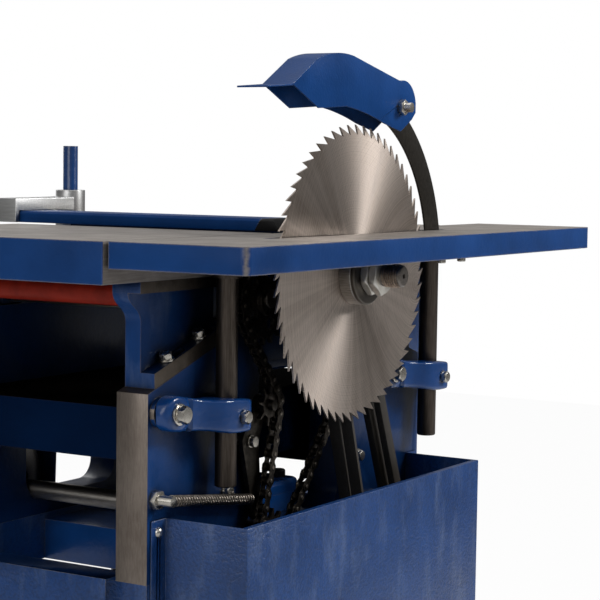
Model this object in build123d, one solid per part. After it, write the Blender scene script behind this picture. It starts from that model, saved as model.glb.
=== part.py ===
from build123d import *
import os
from math import asin, atan2, cos, degrees, hypot, pi, radians, sin, tan

# Combination woodworking machine: planer, thicknesser and circular saw on one spindle.
# Millimetres. X runs along the spindle towards the saw, Y along the feed away from the
# operator, Z up. The origin is on the floor, midway between the side frames, under the spindle.

# Overall layout
STAND_H = 430.0
SPINDLE_RISE = 330.0
CUT_R = 47.5
PLANER_HALF = 196.0
PLANER_INSET = 2.0
FRAME_T = 42.0
FRAME_FRONT = -305.0
FRAME_REAR = 320.0
BLADE_OUT = 78.0
RUN_GAP = 0.35
FIT = 0.06
HOLE_GAP = 0.3

OUT_X = PLANER_HALF + PLANER_INSET
IN_X = OUT_X - FRAME_T
BLADE_X = OUT_X + BLADE_OUT
S = STAND_H + SPINDLE_RISE
TOP_Z = S + CUT_R

# Side frame casting
WAY_ANGLE = 18.0
WAY_TOP_DROP = 70.0
CROWN_HALF = 150.0
CROWN_DROP = 52.0
POCKET_DEPTH = 12.0
POCKET_R = 14.0
POCKET_TOP = 186.0
POCKET_FOOT = 18.0
COLUMN_W = 46.0
POCKET_W = 54.0
WINDOW_FRONT = -84.0
WINDOW_REAR = 104.0
WINDOW_TOP = 104.0
FAR_WINDOW_TOP = 166.0
WINDOW_FOOT = 24.0
WINDOW_R = 26.0
SHAFT_HOLE_R = 24.0
FRAME_BOLTS = ((-153.0, 82.0), (155.0, 84.0), (200.0, 24.0), (-185.0, 24.0))

# Stand
LEG = 56.0
RAIL_H = 60.0
RAIL_T = 42.0
LOW_RAIL_Z = 90.0
LOW_RAIL_H = 40.0
FOOT = 110.0
FOOT_T = 12.0
FOOT_HOLE_R = 7.0
FLOOR_BOLT_OUT = 13.0
FLOOR_BOLT_Y = 280.0
SHELF_T = 10.0
HANGER_W = 70.0
HANGER_T = 12.0

# Spindle
BLOCK_R = 42.0
BLOCK_END_GAP = 4.0
JOURNAL_R = 20.0
NOSE_R = 15.0
THREAD_R = 13.0
BEARING_R = 36.0
BEARING_W = 20.0
HOUSING_WALL = 6.0
HOUSING_FOOT_HALF = 62.0
HOUSING_FOOT_H = 18.0
JOURNAL_OUT = 2.0
JOURNAL_GAP = 4.0
KNIFE_COUNT = 3
KNIFE_W = 26.0
KNIFE_T = 3.0
KNIFE_EDGE = 0.4
WEDGE_T = 12.0
WEDGE_DROP = 3.0

# Saw blade and its clamping
BLADE_R = 177.5
BLADE_T = 2.2
TEETH = 60
GULLET = 12.0
HOOK_DEG = 1.9
GULLET_DEG = 1.0
FLANGE_R = 36.0
INNER_FLANGE_T = 7.0
OUTER_FLANGE_T = 16.0
WASHER_T = 5.0
NUT_AF = 36.0
NUT_H = 10.5
NUT_COUNT = 2
THREAD_OUT = 26.0
THREAD_BEVEL = 2.0
CENTRE_R = 3.0
CENTRE_DEEP = 8.0
WASHER_BEVEL = 1.2
NUT_BEVEL = 2.0

# Belt drive
BELT_W = 16.0
BELT_H = 10.0
BELT_PITCH = 18.0
BELT_COUNT = 2
SPINDLE_PD = 64.0
MOTOR_PD = 104.0
PULLEY_RIM = 1.5
GROOVE_ANGLE = 19.0
MOTOR_Y = 160.0
MOTOR_DROP = 450.0
MOTOR_R = 92.0
MOTOR_FRONT_GAP = 38.0
MOTOR_LEN = 200.0
MOTOR_FIN = 9.0
MOTOR_FINS = 24
MOTOR_SHAFT_R = 14.0
FAN_COVER_LEN = 62.0
MOTOR_FOOT_T = 12.0
MOTOR_FOOT_W = 45.0
MOTOR_SHIELD = 16.0
SHELF_GAP = 4.0
TERMINAL_HALF = 42.0
TERMINAL_H = 40.0
FAN_BEVEL = 12.0
FAN_SLOTS = 8
FAN_SLOT_W = 12.0

# Feed drive
PITCH = 15.875
ROLLER_TEETH = 20
DRIVE_TEETH = 10
IDLER_TEETH = 8
FEED_ROLLER_R = 22.5
FEED_Y = 108.0
FEED_DROP = 26.0
FEED_SHAFT_R = 11.0
FEED_SHAFT_OUT = 4.0
FEED_FLUTES = 24
FLUTE_DEPTH = 3.0
CHAIN_OUT = 22.0
CHAIN_ROLLER_R = 5.08
CHAIN_INNER_HALF = 3.2
CHAIN_PLATE_T = 1.3
CHAIN_PLATE_HALF = 6.2
CHAIN_PLATE_WAIST = 4.4
CHAIN_PIN_R = 2.5
CHAIN_PIN_OUT = 1.0
SPROCKET_T = 5.6
ROOT_GAP = 0.45
TOOTH_OUT = 3.8
TOOTH_FLAT = 1.0
SPROCKET_HUB = 6.0
SPROCKET_HUB_R = 20.0
DRIVE_Y = -88.0
DRIVE_RISE = 25.0
IDLER_Y = -96.0
IDLER_RISE = 178.0
LEVER_Y = -119.0
LEVER_RISE = 137.0
LEVER_T = 6.0
LEVER_OFF = 6.5
LEVER_TAIL_Y = -103.0
LEVER_TAIL_RISE = 50.0
LEVER_HUB_R = 17.0
LEVER_BOLT_R = 4.0
LEVER_IDLER_R = 12.0
LEVER_TAIL_R = 9.0
SPRING_EYE_UP = 19.0
SPRING_EYE_IN = 1.5
BLOCK_HALF = 20.0
BLOCK_TOP = 26.0
BLOCK_INSET = 3.0

# Tension spring
STUD_Y = -292.0
STUD_RISE = 93.0
STUD_R = 6.0
SPRING_R = 5.5
WIRE_R = 1.0
SPRING_TURNS = 32
SPRING_OUT = 15.0
HOOK_IN = 3.0
HOOK_BEND = 3.0

# Feed gearbox and its drive on the far side
GEAR_Y0 = -122.0
GEAR_Y1 = 82.0
GEAR_H = 62.0
GEAR_LID = 16.0
GEAR_T = 76.0
GEAR_SHAFT_R = 12.0
GEAR_SHAFT_IN = 20.0
GEAR_CORNER = 12.0
GEAR_LID_OUT = 3.0
CAP_IN = 22.0
CAP_Y = 66.0
CAP_R = 8.5
CAP_H = 10.0
CAP_STEM_R = 6.0
CAP_STEM = 7.0
INPUT_Y = -64.0
INPUT_RISE = 34.0
SMALL_FEED_PD = 56.0
LARGE_FEED_PD = 150.0
FEED_BELT_OUT = 26.0
COVER_WALL = 2.0
COVER_GAP = 12.0
COVER_DEPTH = 52.0

# Saw table
SAW_FRONT = -380.0
SAW_REAR = 496.0
SAW_SEAM = 2.5
SAW_OUT = 96.5
SAW_EDGE = 29.0
SAW_PLATE = 10.0
SAW_RIM = 14.0
SAW_CORNER = 9.0
SAW_RIB_T = 10.0
SAW_RIB_UP = 6.0
SLOT_HALF = 5.5
SLOT_FRONT_GAP = 18.5
SLOT_REAR_GAP = 10.0
POST_R = 12.5
POST_OUT = 23.0
POST_FRONT = -187.0
POST_REAR = 304.0
POST_END_DROP = 235.0
COLLAR_R = 22.0
COLLAR_H = 17.0
COLLAR_WALL = 4.5
POST_BEVEL = 1.2

# Post clamps
CLAMP_MID_DROP = 154.0
CLAMP_H = 40.0
CLAMP_EYE_OUT = 24.0
CLAMP_EYE_HALF = 25.0
CLAMP_ARM = 98.0
CLAMP_BOLT_RISE = 12.0
CLAMP_T = 21.0
CLAMP_END_R = 22.0
CLAMP_BACK = 2.0
CLAMP_ROUND = 13.0
PAD_T = 6.0
PAD_R = 17.0
LOCK_SCREW_R = 5.0
LOCK_SCREW_AF = 14.0

# Fasteners
BOLT_R = 6.0
BOLT_AF = 19.0
BOLT_HEAD = 8.0
WASHER_R = 12.5
WASHER_H = 2.5
LOCK_R = 9.6
LOCK_H = 2.2
BOLT_GRIP = 20.0
FRAME_BOLT_SCALE = 0.68
SLOT_BOLT_SCALE = 0.72
CLAMP_BOLT_SCALE = 0.95
SCREW_R = 3.0
SCREW_HEAD_R = 6.0
SCREW_HEAD = 4.0
SCREW_GRIP = 12.0

# Riving knife and hood
KNIFE_GAP = 10.5
KNIFE_WIDTH = 38.0
RIVING_T = 2.6
HOOD_PIVOT_Y = 76.0
HOOD_PIVOT_UP = 22.5
HOOD_HALF = 20.0
HOOD_WALL = 2.0
HOOD_LIP = 51.0
HOOD_LIP_FALL = 4.0
HOOD_CROWN = ((-175.0, 40.5), (-122.0, 71.0), (-81.0, 79.5), (-40.0, 78.5), (75.0, 54.5))
HOOD_TAIL = ((106.0, 46.5), (115.0, 28.5), (115.0, 17.5), (105.0, 8.5), (77.0, -6.5))
HOOD_UNDER = ((34.0, 2.5), (-12.0, 13.5), (-55.0, 19.5), (-86.0, 17.5), (-118.0, 15.5))
HOOD_NUT_AF = 17.0
HOOD_NUT_H = 7.5
HOOD_BOLT_END = 8.0
HOOD_SLOT_HALF = 3.0
HOOD_SLOT_TOP = 30.0
KNIFE_FOOT_IN = 2.0
KNIFE_TIP_IN = 18.0
KNIFE_TIP_OUT = 14.0
KNIFE_BLOCK_LEN = 74.0
KNIFE_BLOCK_T = 22.0
KNIFE_CHEEK_T = 10.0
KNIFE_STUD_R = 5.0
KNIFE_STUD = 9.0
KNIFE_STUDS = (10.0, 26.0)

# Planer tables
PLANER_END = 384.0
LIP_GAP = 54.0
PLANER_PLATE = 16.0
PLANER_EDGE = 26.0
PLANER_APRON = 46.0
PLANER_APRON_T = 14.0
PLANER_RIM_W = 42.0
PLANER_RIB_X = 60.0
PLANER_RIB_T = 12.0
PLANER_LIP_W = 30.0
PLANER_LIP_T = 6.0
PLANER_BEVEL = 18.0
BRACKET_GAP = 2.0
BRACKET_T = 21.0
BRACKET_FOOT_T = 17.0
BRACKET_HEAD_T = 12.5
SLOT_TRAVEL = 28.0
TIE_R = 14.0
TIE_Y = -298.0
TIE_DROP = 13.0
TIE_SOCKET = 8.0
BRACKET_END = 293.0
BRACKET_FLARE = 24.0
FLARE_LOW = 45.0
FLARE_TOP = 9.0
CROWN_GAP = 3.0
SLOT_BOLTS = (190.0, 253.0)
SLOT_BOLT_IN = 16.0
SLOT_GAP = 1.0

# Thickness table and its lift
THICK_DROP = 150.0
THICK_PLATE = 26.0
THICK_SIDE_GAP = 7.0
THICK_HALF_Y = 230.0
APRON_GAP = 4.0
APRON_SAG = 0.4
REAR_APRON = 39.0
THICK_RIB = 12.0
LIFT_DOWN = 20.0
COLUMN_R = 40.0
COLUMN_GAP = 10.0
COLUMN_CAP = 12.0
LIFT_SCREW_R = 14.0
LIFT_SCREW_GAP = 3.0
LIFT_NUT_H = 40.0
SOCKET_WALL = 18.0
SOCKET_RISE = 2.0
LIFT_BOX_DROP = 170.0
LIFT_BOX_H = 64.0
LIFT_BOX_HALF = 58.0
LIFT_BOX_CORNER = 10.0
BEAM_HALF = 46.0
BEAM_DROP = 8.0
BEAM_WALL = 14.0
BEAM_DECK = 16.0
WHEEL_R = 82.0
WHEEL_RIM_R = 9.0
WHEEL_Y = -346.0
WHEEL_SHAFT_R = 10.0
WHEEL_SHAFT_IN = 28.0
WHEEL_DROP = 8.0
WHEEL_HUB_R = 20.0
WHEEL_HUB_HALF = 16.0
SPOKES = 3
SPOKE_W = 16.0
SPOKE_T = 11.0
GRIP_R = 9.0
GRIP_LEN = 62.0

# Bridge guard
GUARD_END_GAP = 5.0
GUARD_TAIL = 120.0
GUARD_HALF = 34.0
GUARD_LIFT = 1.0
GUARD_H = 15.0
GUARD_WALL = 2.5
GUARD_CAP = 34.0
GUARD_SLANT = 9.0
GUARD_BEVEL = 3.0
GUARD_POST_R = 10.0
GUARD_POST_OUT = 28.0
GUARD_POST_Y = 92.0
GUARD_POST_TOP = 150.0
GUARD_POST_FOOT = 120.0
GUARD_FOOT_H = 50.0
GUARD_FOOT_HALF = 20.0
GUARD_SCREW_IN = 10.0
GUARD_SCREW_R = 2.0
GUARD_ARM_HALF = 16.0
GUARD_ARM_T = 16.0
GUARD_LIP = 8.0
GUARD_BOSS_WALL = 10.0
GUARD_BOSS_DOWN = 34.0
GUARD_BOSS_UP = 26.0

# Belt box
BOX_OUT = 109.0
BOX_FRONT = -273.0
BOX_REAR = 291.0
BOX_TOP_DROP = 260.0
BOX_FOOT_DROP = 540.0
BOX_WALL = 2.0
BOX_FLANGE = 26.0
BOX_LIP = 8.0
BOX_SCREW_TOP = 14.0
BOX_SCREW_FOOT = 40.0

# Derived places
CHAIN_X = OUT_X + CHAIN_OUT
POST_X = OUT_X + POST_OUT
MOTOR_Z = S - MOTOR_DROP
MOTOR_FRONT_X = IN_X - MOTOR_FRONT_GAP
BLADE_TOP = S + BLADE_R
KNIFE_IN_R = BLADE_R + KNIFE_GAP
KNIFE_OUT_R = KNIFE_IN_R + KNIFE_WIDTH
SLOT_FRONT = -BLADE_R - SLOT_FRONT_GAP
SLOT_REAR = KNIFE_OUT_R + SLOT_REAR_GAP
THICK_HALF_X = IN_X - THICK_SIDE_GAP
GUARD_END_X = PLANER_HALF - GUARD_END_GAP
GUARD_TAIL_X = -OUT_X - GUARD_TAIL
PULLEY_OUT_X = BLADE_X - BLADE_T / 2 - INNER_FLANGE_T
PULLEY_IN_X = PULLEY_OUT_X - BELT_COUNT * BELT_PITCH
FEED_BELT_X = -OUT_X - FEED_BELT_OUT
CLAMP_BOLT_Z = S - CLAMP_MID_DROP + CLAMP_BOLT_RISE
LEVER_X = OUT_X + LEVER_OFF
SLOPE = tan(radians(WAY_ANGLE))
WAY_SIN = sin(radians(WAY_ANGLE))
WAY_COS = cos(radians(WAY_ANGLE))
BRACKET_X = IN_X + BRACKET_GAP
SLOT_X = (BRACKET_X + BRACKET_T + OUT_X) / 2
DRIVE_Z = STAND_H + DRIVE_RISE
INPUT_Z = STAND_H + INPUT_RISE
GEAR_Z = STAND_H + GEAR_H
IDLER = (IDLER_Y, STAND_H + IDLER_RISE)
LEVER = (LEVER_Y, STAND_H + LEVER_RISE)
LEVER_TAIL = (LEVER_TAIL_Y, STAND_H + LEVER_TAIL_RISE)
STUD = (STUD_Y, STAND_H + STUD_RISE)
HOOD_PIVOT = (HOOD_PIVOT_Y, BLADE_TOP + HOOD_PIVOT_UP)
LIFT_BOX_Z = STAND_H - LIFT_BOX_DROP
COLUMN_Z = LIFT_BOX_Z + LIFT_DOWN + COLUMN_GAP
THICK_BASE = S - THICK_DROP - THICK_PLATE
GUARD_Z = TOP_Z + GUARD_LIFT


# Helpers
def block(x0, x1, y0, y1, z0, z1):
    return Pos((x0 + x1) / 2, (y0 + y1) / 2, (z0 + z1) / 2) * Box(x1 - x0, y1 - y0, z1 - z0)


def rod_x(x0, x1, y, z, r):
    return Pos((x0 + x1) / 2, y, z) * Rot(0, 90, 0) * Cylinder(r, x1 - x0)


def rod_y(y0, y1, x, z, r):
    return Pos(x, (y0 + y1) / 2, z) * Rot(90, 0, 0) * Cylinder(r, y1 - y0)


def rod_z(z0, z1, x, y, r):
    return Pos(x, y, (z0 + z1) / 2) * Cylinder(r, z1 - z0)


def side_plane(x):
    return Plane(origin=(x, 0, 0), x_dir=(0, 1, 0), z_dir=(1, 0, 0))


def slab_x(sketch, x0, x1):
    """Extrude a sketch drawn in (Y, Z) from x0 to x1."""
    return extrude(side_plane(x0) * sketch, amount=x1 - x0, dir=(1, 0, 0))


def plate_x(points, x0, x1):
    return slab_x(Polygon(*points, align=None), x0, x1)


def hex_x(x0, x1, y, z, af):
    return slab_x(Pos(y, z) * RegularPolygon(af / 2, 6, major_radius=False), x0, x1)


def turn_x(points, y, z):
    """Revolve a profile of (X, radius) points about the X line through (y, z)."""
    plane = Plane(origin=(0, y, z), x_dir=(1, 0, 0), z_dir=(0, -1, 0))
    return revolve(plane * Polygon(*points, align=None), axis=Axis((0, y, z), (1, 0, 0)))


def rounded(y0, y1, z0, z1, r):
    """A rectangle in (Y, Z) with rounded corners."""
    return Pos((y0 + y1) / 2, (z0 + z1) / 2) * RectangleRounded(y1 - y0, z1 - z0, r)


def make_link(y0, z0, r0, y1, z1, r1):
    """The outline of two circles joined by their outer tangents."""
    ends = Pos(y0, z0) * Circle(r0) + Pos(y1, z1) * Circle(r1)
    return make_hull(ends.edges())


def group(*parts):
    return Compound([solid for part in parts for solid in part.solids()])


def hex_head(across, tall):
    """Hex head that stands on the XY plane, with its top corners turned down."""
    blank = extrude(RegularPolygon(across / 2, 6, major_radius=False), amount=tall)
    turned = Pos(0, 0, tall / 2) * Cylinder(across * 0.57, tall)
    return blank & chamfer(turned.edges().group_by(Axis.Z)[-1], tall * 0.25)


def bolt_on(plane, grip, k):
    """Hex bolt with a plain and a lock washer, its head on the given plane; k scales its size."""
    foot = (WASHER_H + LOCK_H) * k
    washers = Pos(0, 0, WASHER_H * k / 2) * Cylinder(WASHER_R * k, WASHER_H * k)
    washers += Pos(0, 0, foot / 2) * Cylinder(LOCK_R * k, foot)
    shank = Pos(0, 0, -grip / 2) * Cylinder(BOLT_R * k, grip)
    return plane * (washers + Pos(0, 0, foot) * hex_head(BOLT_AF * k, BOLT_HEAD * k) + shank)


def face_x(x, y, z, way=1):
    """Plane square to X; way is 1 where it faces right."""
    return Plane(origin=(x, y, z), x_dir=(0, 0, 1), z_dir=(way, 0, 0))


def bolt_x(x, y, z, way=1, grip=BOLT_GRIP, k=1.0):
    """Bolt along X whose head sits on the face at x; way points out."""
    return bolt_on(face_x(x, y, z, way), grip, k)


def bolt_hole_x(x, y, z, way=1, grip=BOLT_GRIP, k=1.0):
    return rod_x(*sorted((x - way * (grip + 1), x + way)), y, z, BOLT_R * k + HOLE_GAP)


def way_z(y):
    """Height of the inclined way at a distance in front of or behind the spindle."""
    return S - WAY_TOP_DROP - SLOPE * (abs(y) - CROWN_HALF)


def way_plane(way, y, height):
    """Plane at a height square to the way; its Y axis points uphill for way -1 and downhill for way 1."""
    square = Vector(0, way * WAY_SIN, WAY_COS)
    return Plane(origin=Vector(SLOT_X, way * y, way_z(y)) + square * height, x_dir=(1, 0, 0), z_dir=square)


# Stand
def stand_frame():
    """Welded stand: each leg, foot, rail and the shaft hanger is its own member."""
    members = []
    leg_in = OUT_X - LEG
    for side in (-1, 1):
        for way, y0 in ((-1, FRAME_FRONT), (1, FRAME_REAR - LEG)):
            x0, x1 = sorted((side * OUT_X, side * leg_in))
            members.append(block(x0, x1, y0, y0 + LEG, FOOT_T, STAND_H))
            mid_x, mid_y = (x0 + x1) / 2, y0 + LEG / 2
            half = FOOT / 2
            foot = block(mid_x - half, mid_x + half, mid_y - half, mid_y + half, 0, FOOT_T)
            hole = rod_z(-1, FOOT_T + 1, side * (OUT_X + FLOOR_BOLT_OUT), way * FLOOR_BOLT_Y, FOOT_HOLE_R)
            members.append(foot - hole)
    for z0, height in ((STAND_H - RAIL_H, RAIL_H), (LOW_RAIL_Z, LOW_RAIL_H)):
        for side in (-1, 1):
            x0, x1 = sorted((side * OUT_X, side * (OUT_X - RAIL_T)))
            members.append(block(x0, x1, FRAME_FRONT + LEG, FRAME_REAR - LEG, z0, z0 + height))
        for y0 in (FRAME_FRONT, FRAME_REAR - RAIL_T):
            members.append(block(-leg_in, leg_in, y0, y0 + RAIL_T, z0, z0 + height))
    rail_back = FRAME_FRONT + RAIL_T
    hanger = block(-HANGER_W / 2, HANGER_W / 2, rail_back - HANGER_T, rail_back,
                   LIFT_BOX_Z - LIFT_BOX_H, STAND_H - RAIL_H)
    hanger -= rod_y(rail_back - 2 * HANGER_T, rail_back + HANGER_T, 0, wheel_axis_z(), WHEEL_SHAFT_R + FIT)
    members.append(hanger)
    low_screws = box_screw_sites()[1]
    holes = [rod_x(OUT_X - SCREW_GRIP, OUT_X + 1, y, z, SCREW_R + HOLE_GAP) for y, z in low_screws]
    return group(*[member.cut(*holes) for member in members])


def shelf_top():
    return MOTOR_Z - MOTOR_R - MOTOR_FOOT_T


def motor_shelf():
    y0 = MOTOR_Y - MOTOR_R - SHELF_GAP
    y1 = FRAME_REAR - LEG - SHELF_GAP / 2
    top = shelf_top()
    deck = block(-IN_X, IN_X, y0, y1, top - SHELF_T, top)
    cheeks = []
    for side in (-1, 1):
        x0, x1 = sorted((side * IN_X, side * (IN_X - SHELF_T)))
        cheeks.append(block(x0, x1, y0, y1, LOW_RAIL_Z + LOW_RAIL_H / 2, top - SHELF_T))
    return deck + cheeks[0] + cheeks[1]


# Motor
def motor_housing():
    x1 = MOTOR_FRONT_X
    x0 = x1 - MOTOR_LEN
    root = MOTOR_R - MOTOR_FIN
    fins = []
    for k in range(MOTOR_FINS):
        for step, r in ((-0.22, MOTOR_R), (0.22, MOTOR_R), (0.3, root), (0.7, root)):
            a = 2 * pi * (k + step) / MOTOR_FINS
            fins.append((MOTOR_Y + r * cos(a), MOTOR_Z + r * sin(a)))
    shield = MOTOR_SHIELD
    barrel = plate_x(fins, x0 + shield, x1 - shield)
    for x in (x0, x1 - shield):
        barrel += rod_x(x, x + shield, MOTOR_Y, MOTOR_Z, MOTOR_R)
    for side in (-1, 1):
        foot_y = MOTOR_Y + side * (MOTOR_R - MOTOR_FOOT_W / 2)
        barrel += block(x0 + shield, x1 - shield, foot_y - MOTOR_FOOT_W / 2, foot_y + MOTOR_FOOT_W / 2,
                        shelf_top(), shelf_top() + MOTOR_FOOT_T)
        web_y = MOTOR_Y + side * MOTOR_R * 0.72
        barrel += block(x0 + 2 * shield, x1 - 2 * shield, web_y - MOTOR_FOOT_T / 2, web_y + MOTOR_FOOT_T / 2,
                        shelf_top(), MOTOR_Z - MOTOR_R * 0.55)
    bore = rod_x(x0 - 1, x1 + 1, MOTOR_Y, MOTOR_Z, MOTOR_SHAFT_R + FIT)
    return barrel - bore


def motor_fan_cover():
    x1 = MOTOR_FRONT_X - MOTOR_LEN
    x0 = x1 - FAN_COVER_LEN
    rim = MOTOR_R + BOX_WALL
    profile = [(x1, 0), (x1, rim), (x0 + FAN_BEVEL, rim), (x0, rim - FAN_BEVEL), (x0, 0)]
    cover = turn_x(profile, MOTOR_Y, MOTOR_Z)
    cover -= rod_x(x0 + BOX_WALL, x1 + 1, MOTOR_Y, MOTOR_Z, MOTOR_R - FAN_BEVEL)
    for k in range(FAN_SLOTS):
        slot = Pos(0, MOTOR_Y, MOTOR_Z) * Rot(360 * k / FAN_SLOTS, 0, 0)
        cover -= slot * Pos(x0, MOTOR_R * 0.48, 0) * Box(FAN_SLOT_W, MOTOR_R * 0.46, FAN_SLOT_W)
    return cover


def motor_terminal_box():
    x0 = MOTOR_FRONT_X - MOTOR_LEN * 0.94
    x1 = MOTOR_FRONT_X - MOTOR_LEN * 0.56
    half = TERMINAL_HALF
    base = MOTOR_Z + MOTOR_R
    box = block(x0, x1, MOTOR_Y - half, MOTOR_Y + half, base, base + TERMINAL_H)
    box = fillet(box.edges().filter_by(Axis.Z), half * 0.2)
    inset = half / 3
    neck = block(x0 + inset, x1 - inset, MOTOR_Y - half / 2, MOTOR_Y + half / 2, base - MOTOR_R * 0.2, base)
    neck -= rod_x(x0, x1, MOTOR_Y, MOTOR_Z, MOTOR_R + HOLE_GAP)
    return box + neck


# Pulleys and belts
def groove_points(pd, width, height, gap):
    """Belt section about its pitch line, widened by gap: outer width, inner width and depths."""
    outer = pd / 2 + height * 0.35
    inner = pd / 2 - height * 0.65
    narrow = width - 2 * height * tan(radians(GROOVE_ANGLE))
    return outer, inner, width / 2 + gap, narrow / 2 + gap


def pulley(pd, x_faces, grooves, y, z, bore):
    """Grooved pulley between two faces with a groove at each given X."""
    outer, inner, wide, narrow = groove_points(pd, BELT_W, BELT_H, RUN_GAP)
    rim = outer + PULLEY_RIM
    x0, x1 = x_faces
    body = turn_x([(x0, bore), (x1, bore), (x1, rim), (x0, rim)], y, z)
    for x in grooves:
        body -= turn_x([(x - narrow, inner - RUN_GAP), (x + narrow, inner - RUN_GAP),
                        (x + wide, outer), (x + wide, rim + 1), (x - wide, rim + 1), (x - wide, outer)], y, z)
    return body


def tangents(c0, r0, s0, c1, r1, s1):
    """Line touching two circles; s is +1 where the circle lies left of the path, else -1."""
    dy, dz = c1[0] - c0[0], c1[1] - c0[1]
    heading = atan2(dz, dy) + asin((s0 * r0 - s1 * r1) / hypot(dy, dz))
    right = (sin(heading), -cos(heading))
    start = (c0[0] + s0 * r0 * right[0], c0[1] + s0 * r0 * right[1])
    end = (c1[0] + s1 * r1 * right[0], c1[1] + s1 * r1 * right[1])
    return start, end, heading


def belt(c0, pd0, c1, pd1, x):
    """V-belt round two pulleys: two straight runs and two wraps of one trapezoid section."""
    outer, inner, wide, narrow = groove_points(0.0, BELT_W, BELT_H, 0.0)
    parts = []
    for a, ra, b, rb in ((c0, pd0 / 2, c1, pd1 / 2), (c1, pd1 / 2, c0, pd0 / 2)):
        start, end, heading = tangents(a, ra, 1, b, rb, 1)
        right = Vector(0, sin(heading), -cos(heading))
        along = Vector(0, cos(heading), sin(heading))
        face_plane = Plane(origin=(x, start[0], start[1]), x_dir=(1, 0, 0), z_dir=along)
        flip = 1 if face_plane.y_dir.dot(right) > 0 else -1
        section = Polygon((-wide, flip * outer), (wide, flip * outer), (narrow, flip * inner),
                          (-narrow, flip * inner), align=None)
        run = hypot(end[0] - start[0], end[1] - start[1])
        parts.append(extrude(face_plane * section, amount=run, dir=along))
        _, _, next_heading = tangents(b, rb, 1, a, ra, 1)
        sweep_angle = degrees((next_heading - heading) % (2 * pi))
        end_plane = Plane(origin=(x, end[0], end[1]), x_dir=(1, 0, 0), z_dir=along)
        axis = Axis((x, b[0], b[1]), (1, 0, 0))
        parts.append(revolve(end_plane * section, axis=axis, revolution_arc=sweep_angle))
    return parts[0].fuse(*parts[1:])


def main_grooves():
    return [PULLEY_OUT_X - BELT_PITCH * (k + 0.5) for k in range(BELT_COUNT)]


def v_belts():
    belts = [belt((0, S), SPINDLE_PD, (MOTOR_Y, MOTOR_Z), MOTOR_PD, x) for x in main_grooves()]
    feed = belt((0, S), SMALL_FEED_PD, (INPUT_Y, INPUT_Z), LARGE_FEED_PD, FEED_BELT_X)
    return group(*belts, feed)


def spindle_pulleys():
    main = pulley(SPINDLE_PD, (PULLEY_IN_X, PULLEY_OUT_X), main_grooves(), 0, S, NOSE_R)
    half = BELT_PITCH / 2
    feed = pulley(SMALL_FEED_PD, (FEED_BELT_X - half, FEED_BELT_X + half), [FEED_BELT_X], 0, S, NOSE_R)
    return group(main, feed)


def motor_pulley():
    drum = pulley(MOTOR_PD, (PULLEY_IN_X, PULLEY_OUT_X), main_grooves(), MOTOR_Y, MOTOR_Z, MOTOR_SHAFT_R)
    tail = MOTOR_FRONT_X - MOTOR_LEN + MOTOR_SHIELD
    return group(drum, rod_x(tail, PULLEY_OUT_X, MOTOR_Y, MOTOR_Z, MOTOR_SHAFT_R))


def feed_input_pulley():
    half = BELT_PITCH / 2
    x0, x1 = FEED_BELT_X - half, FEED_BELT_X + half
    wheel = pulley(LARGE_FEED_PD, (x0, x1), [FEED_BELT_X], INPUT_Y, INPUT_Z, GEAR_SHAFT_R)
    holes = 4
    ring = LARGE_FEED_PD * 0.27
    for k in range(holes):
        a = 2 * pi * k / holes
        wheel -= rod_x(x0 - 1, x1 + 1, INPUT_Y + ring * cos(a), INPUT_Z + ring * sin(a), LARGE_FEED_PD * 0.1)
    return wheel + rod_x(x0, IN_X - GEAR_T + GEAR_SHAFT_IN, INPUT_Y, INPUT_Z, GEAR_SHAFT_R)


# Side frames
def frame_outline():
    front_z = way_z(FRAME_FRONT)
    rear_z = way_z(FRAME_REAR)
    crown = S - CROWN_DROP
    step = S - WAY_TOP_DROP
    return [(FRAME_FRONT, STAND_H), (FRAME_REAR, STAND_H), (FRAME_REAR, rear_z), (CROWN_HALF, step),
            (CROWN_HALF, crown), (-CROWN_HALF, crown), (-CROWN_HALF, step), (FRAME_FRONT, front_z)]


def clamp_sites():
    return [(POST_FRONT - CLAMP_ARM, POST_FRONT), (POST_REAR - CLAMP_ARM, POST_REAR)]


def frame_bolt_sites():
    return [(y, STAND_H + rise) for y, rise in FRAME_BOLTS]


def slot_bolt_sites():
    return [(way, y) for way in (-1, 1) for y in SLOT_BOLTS]


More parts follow.
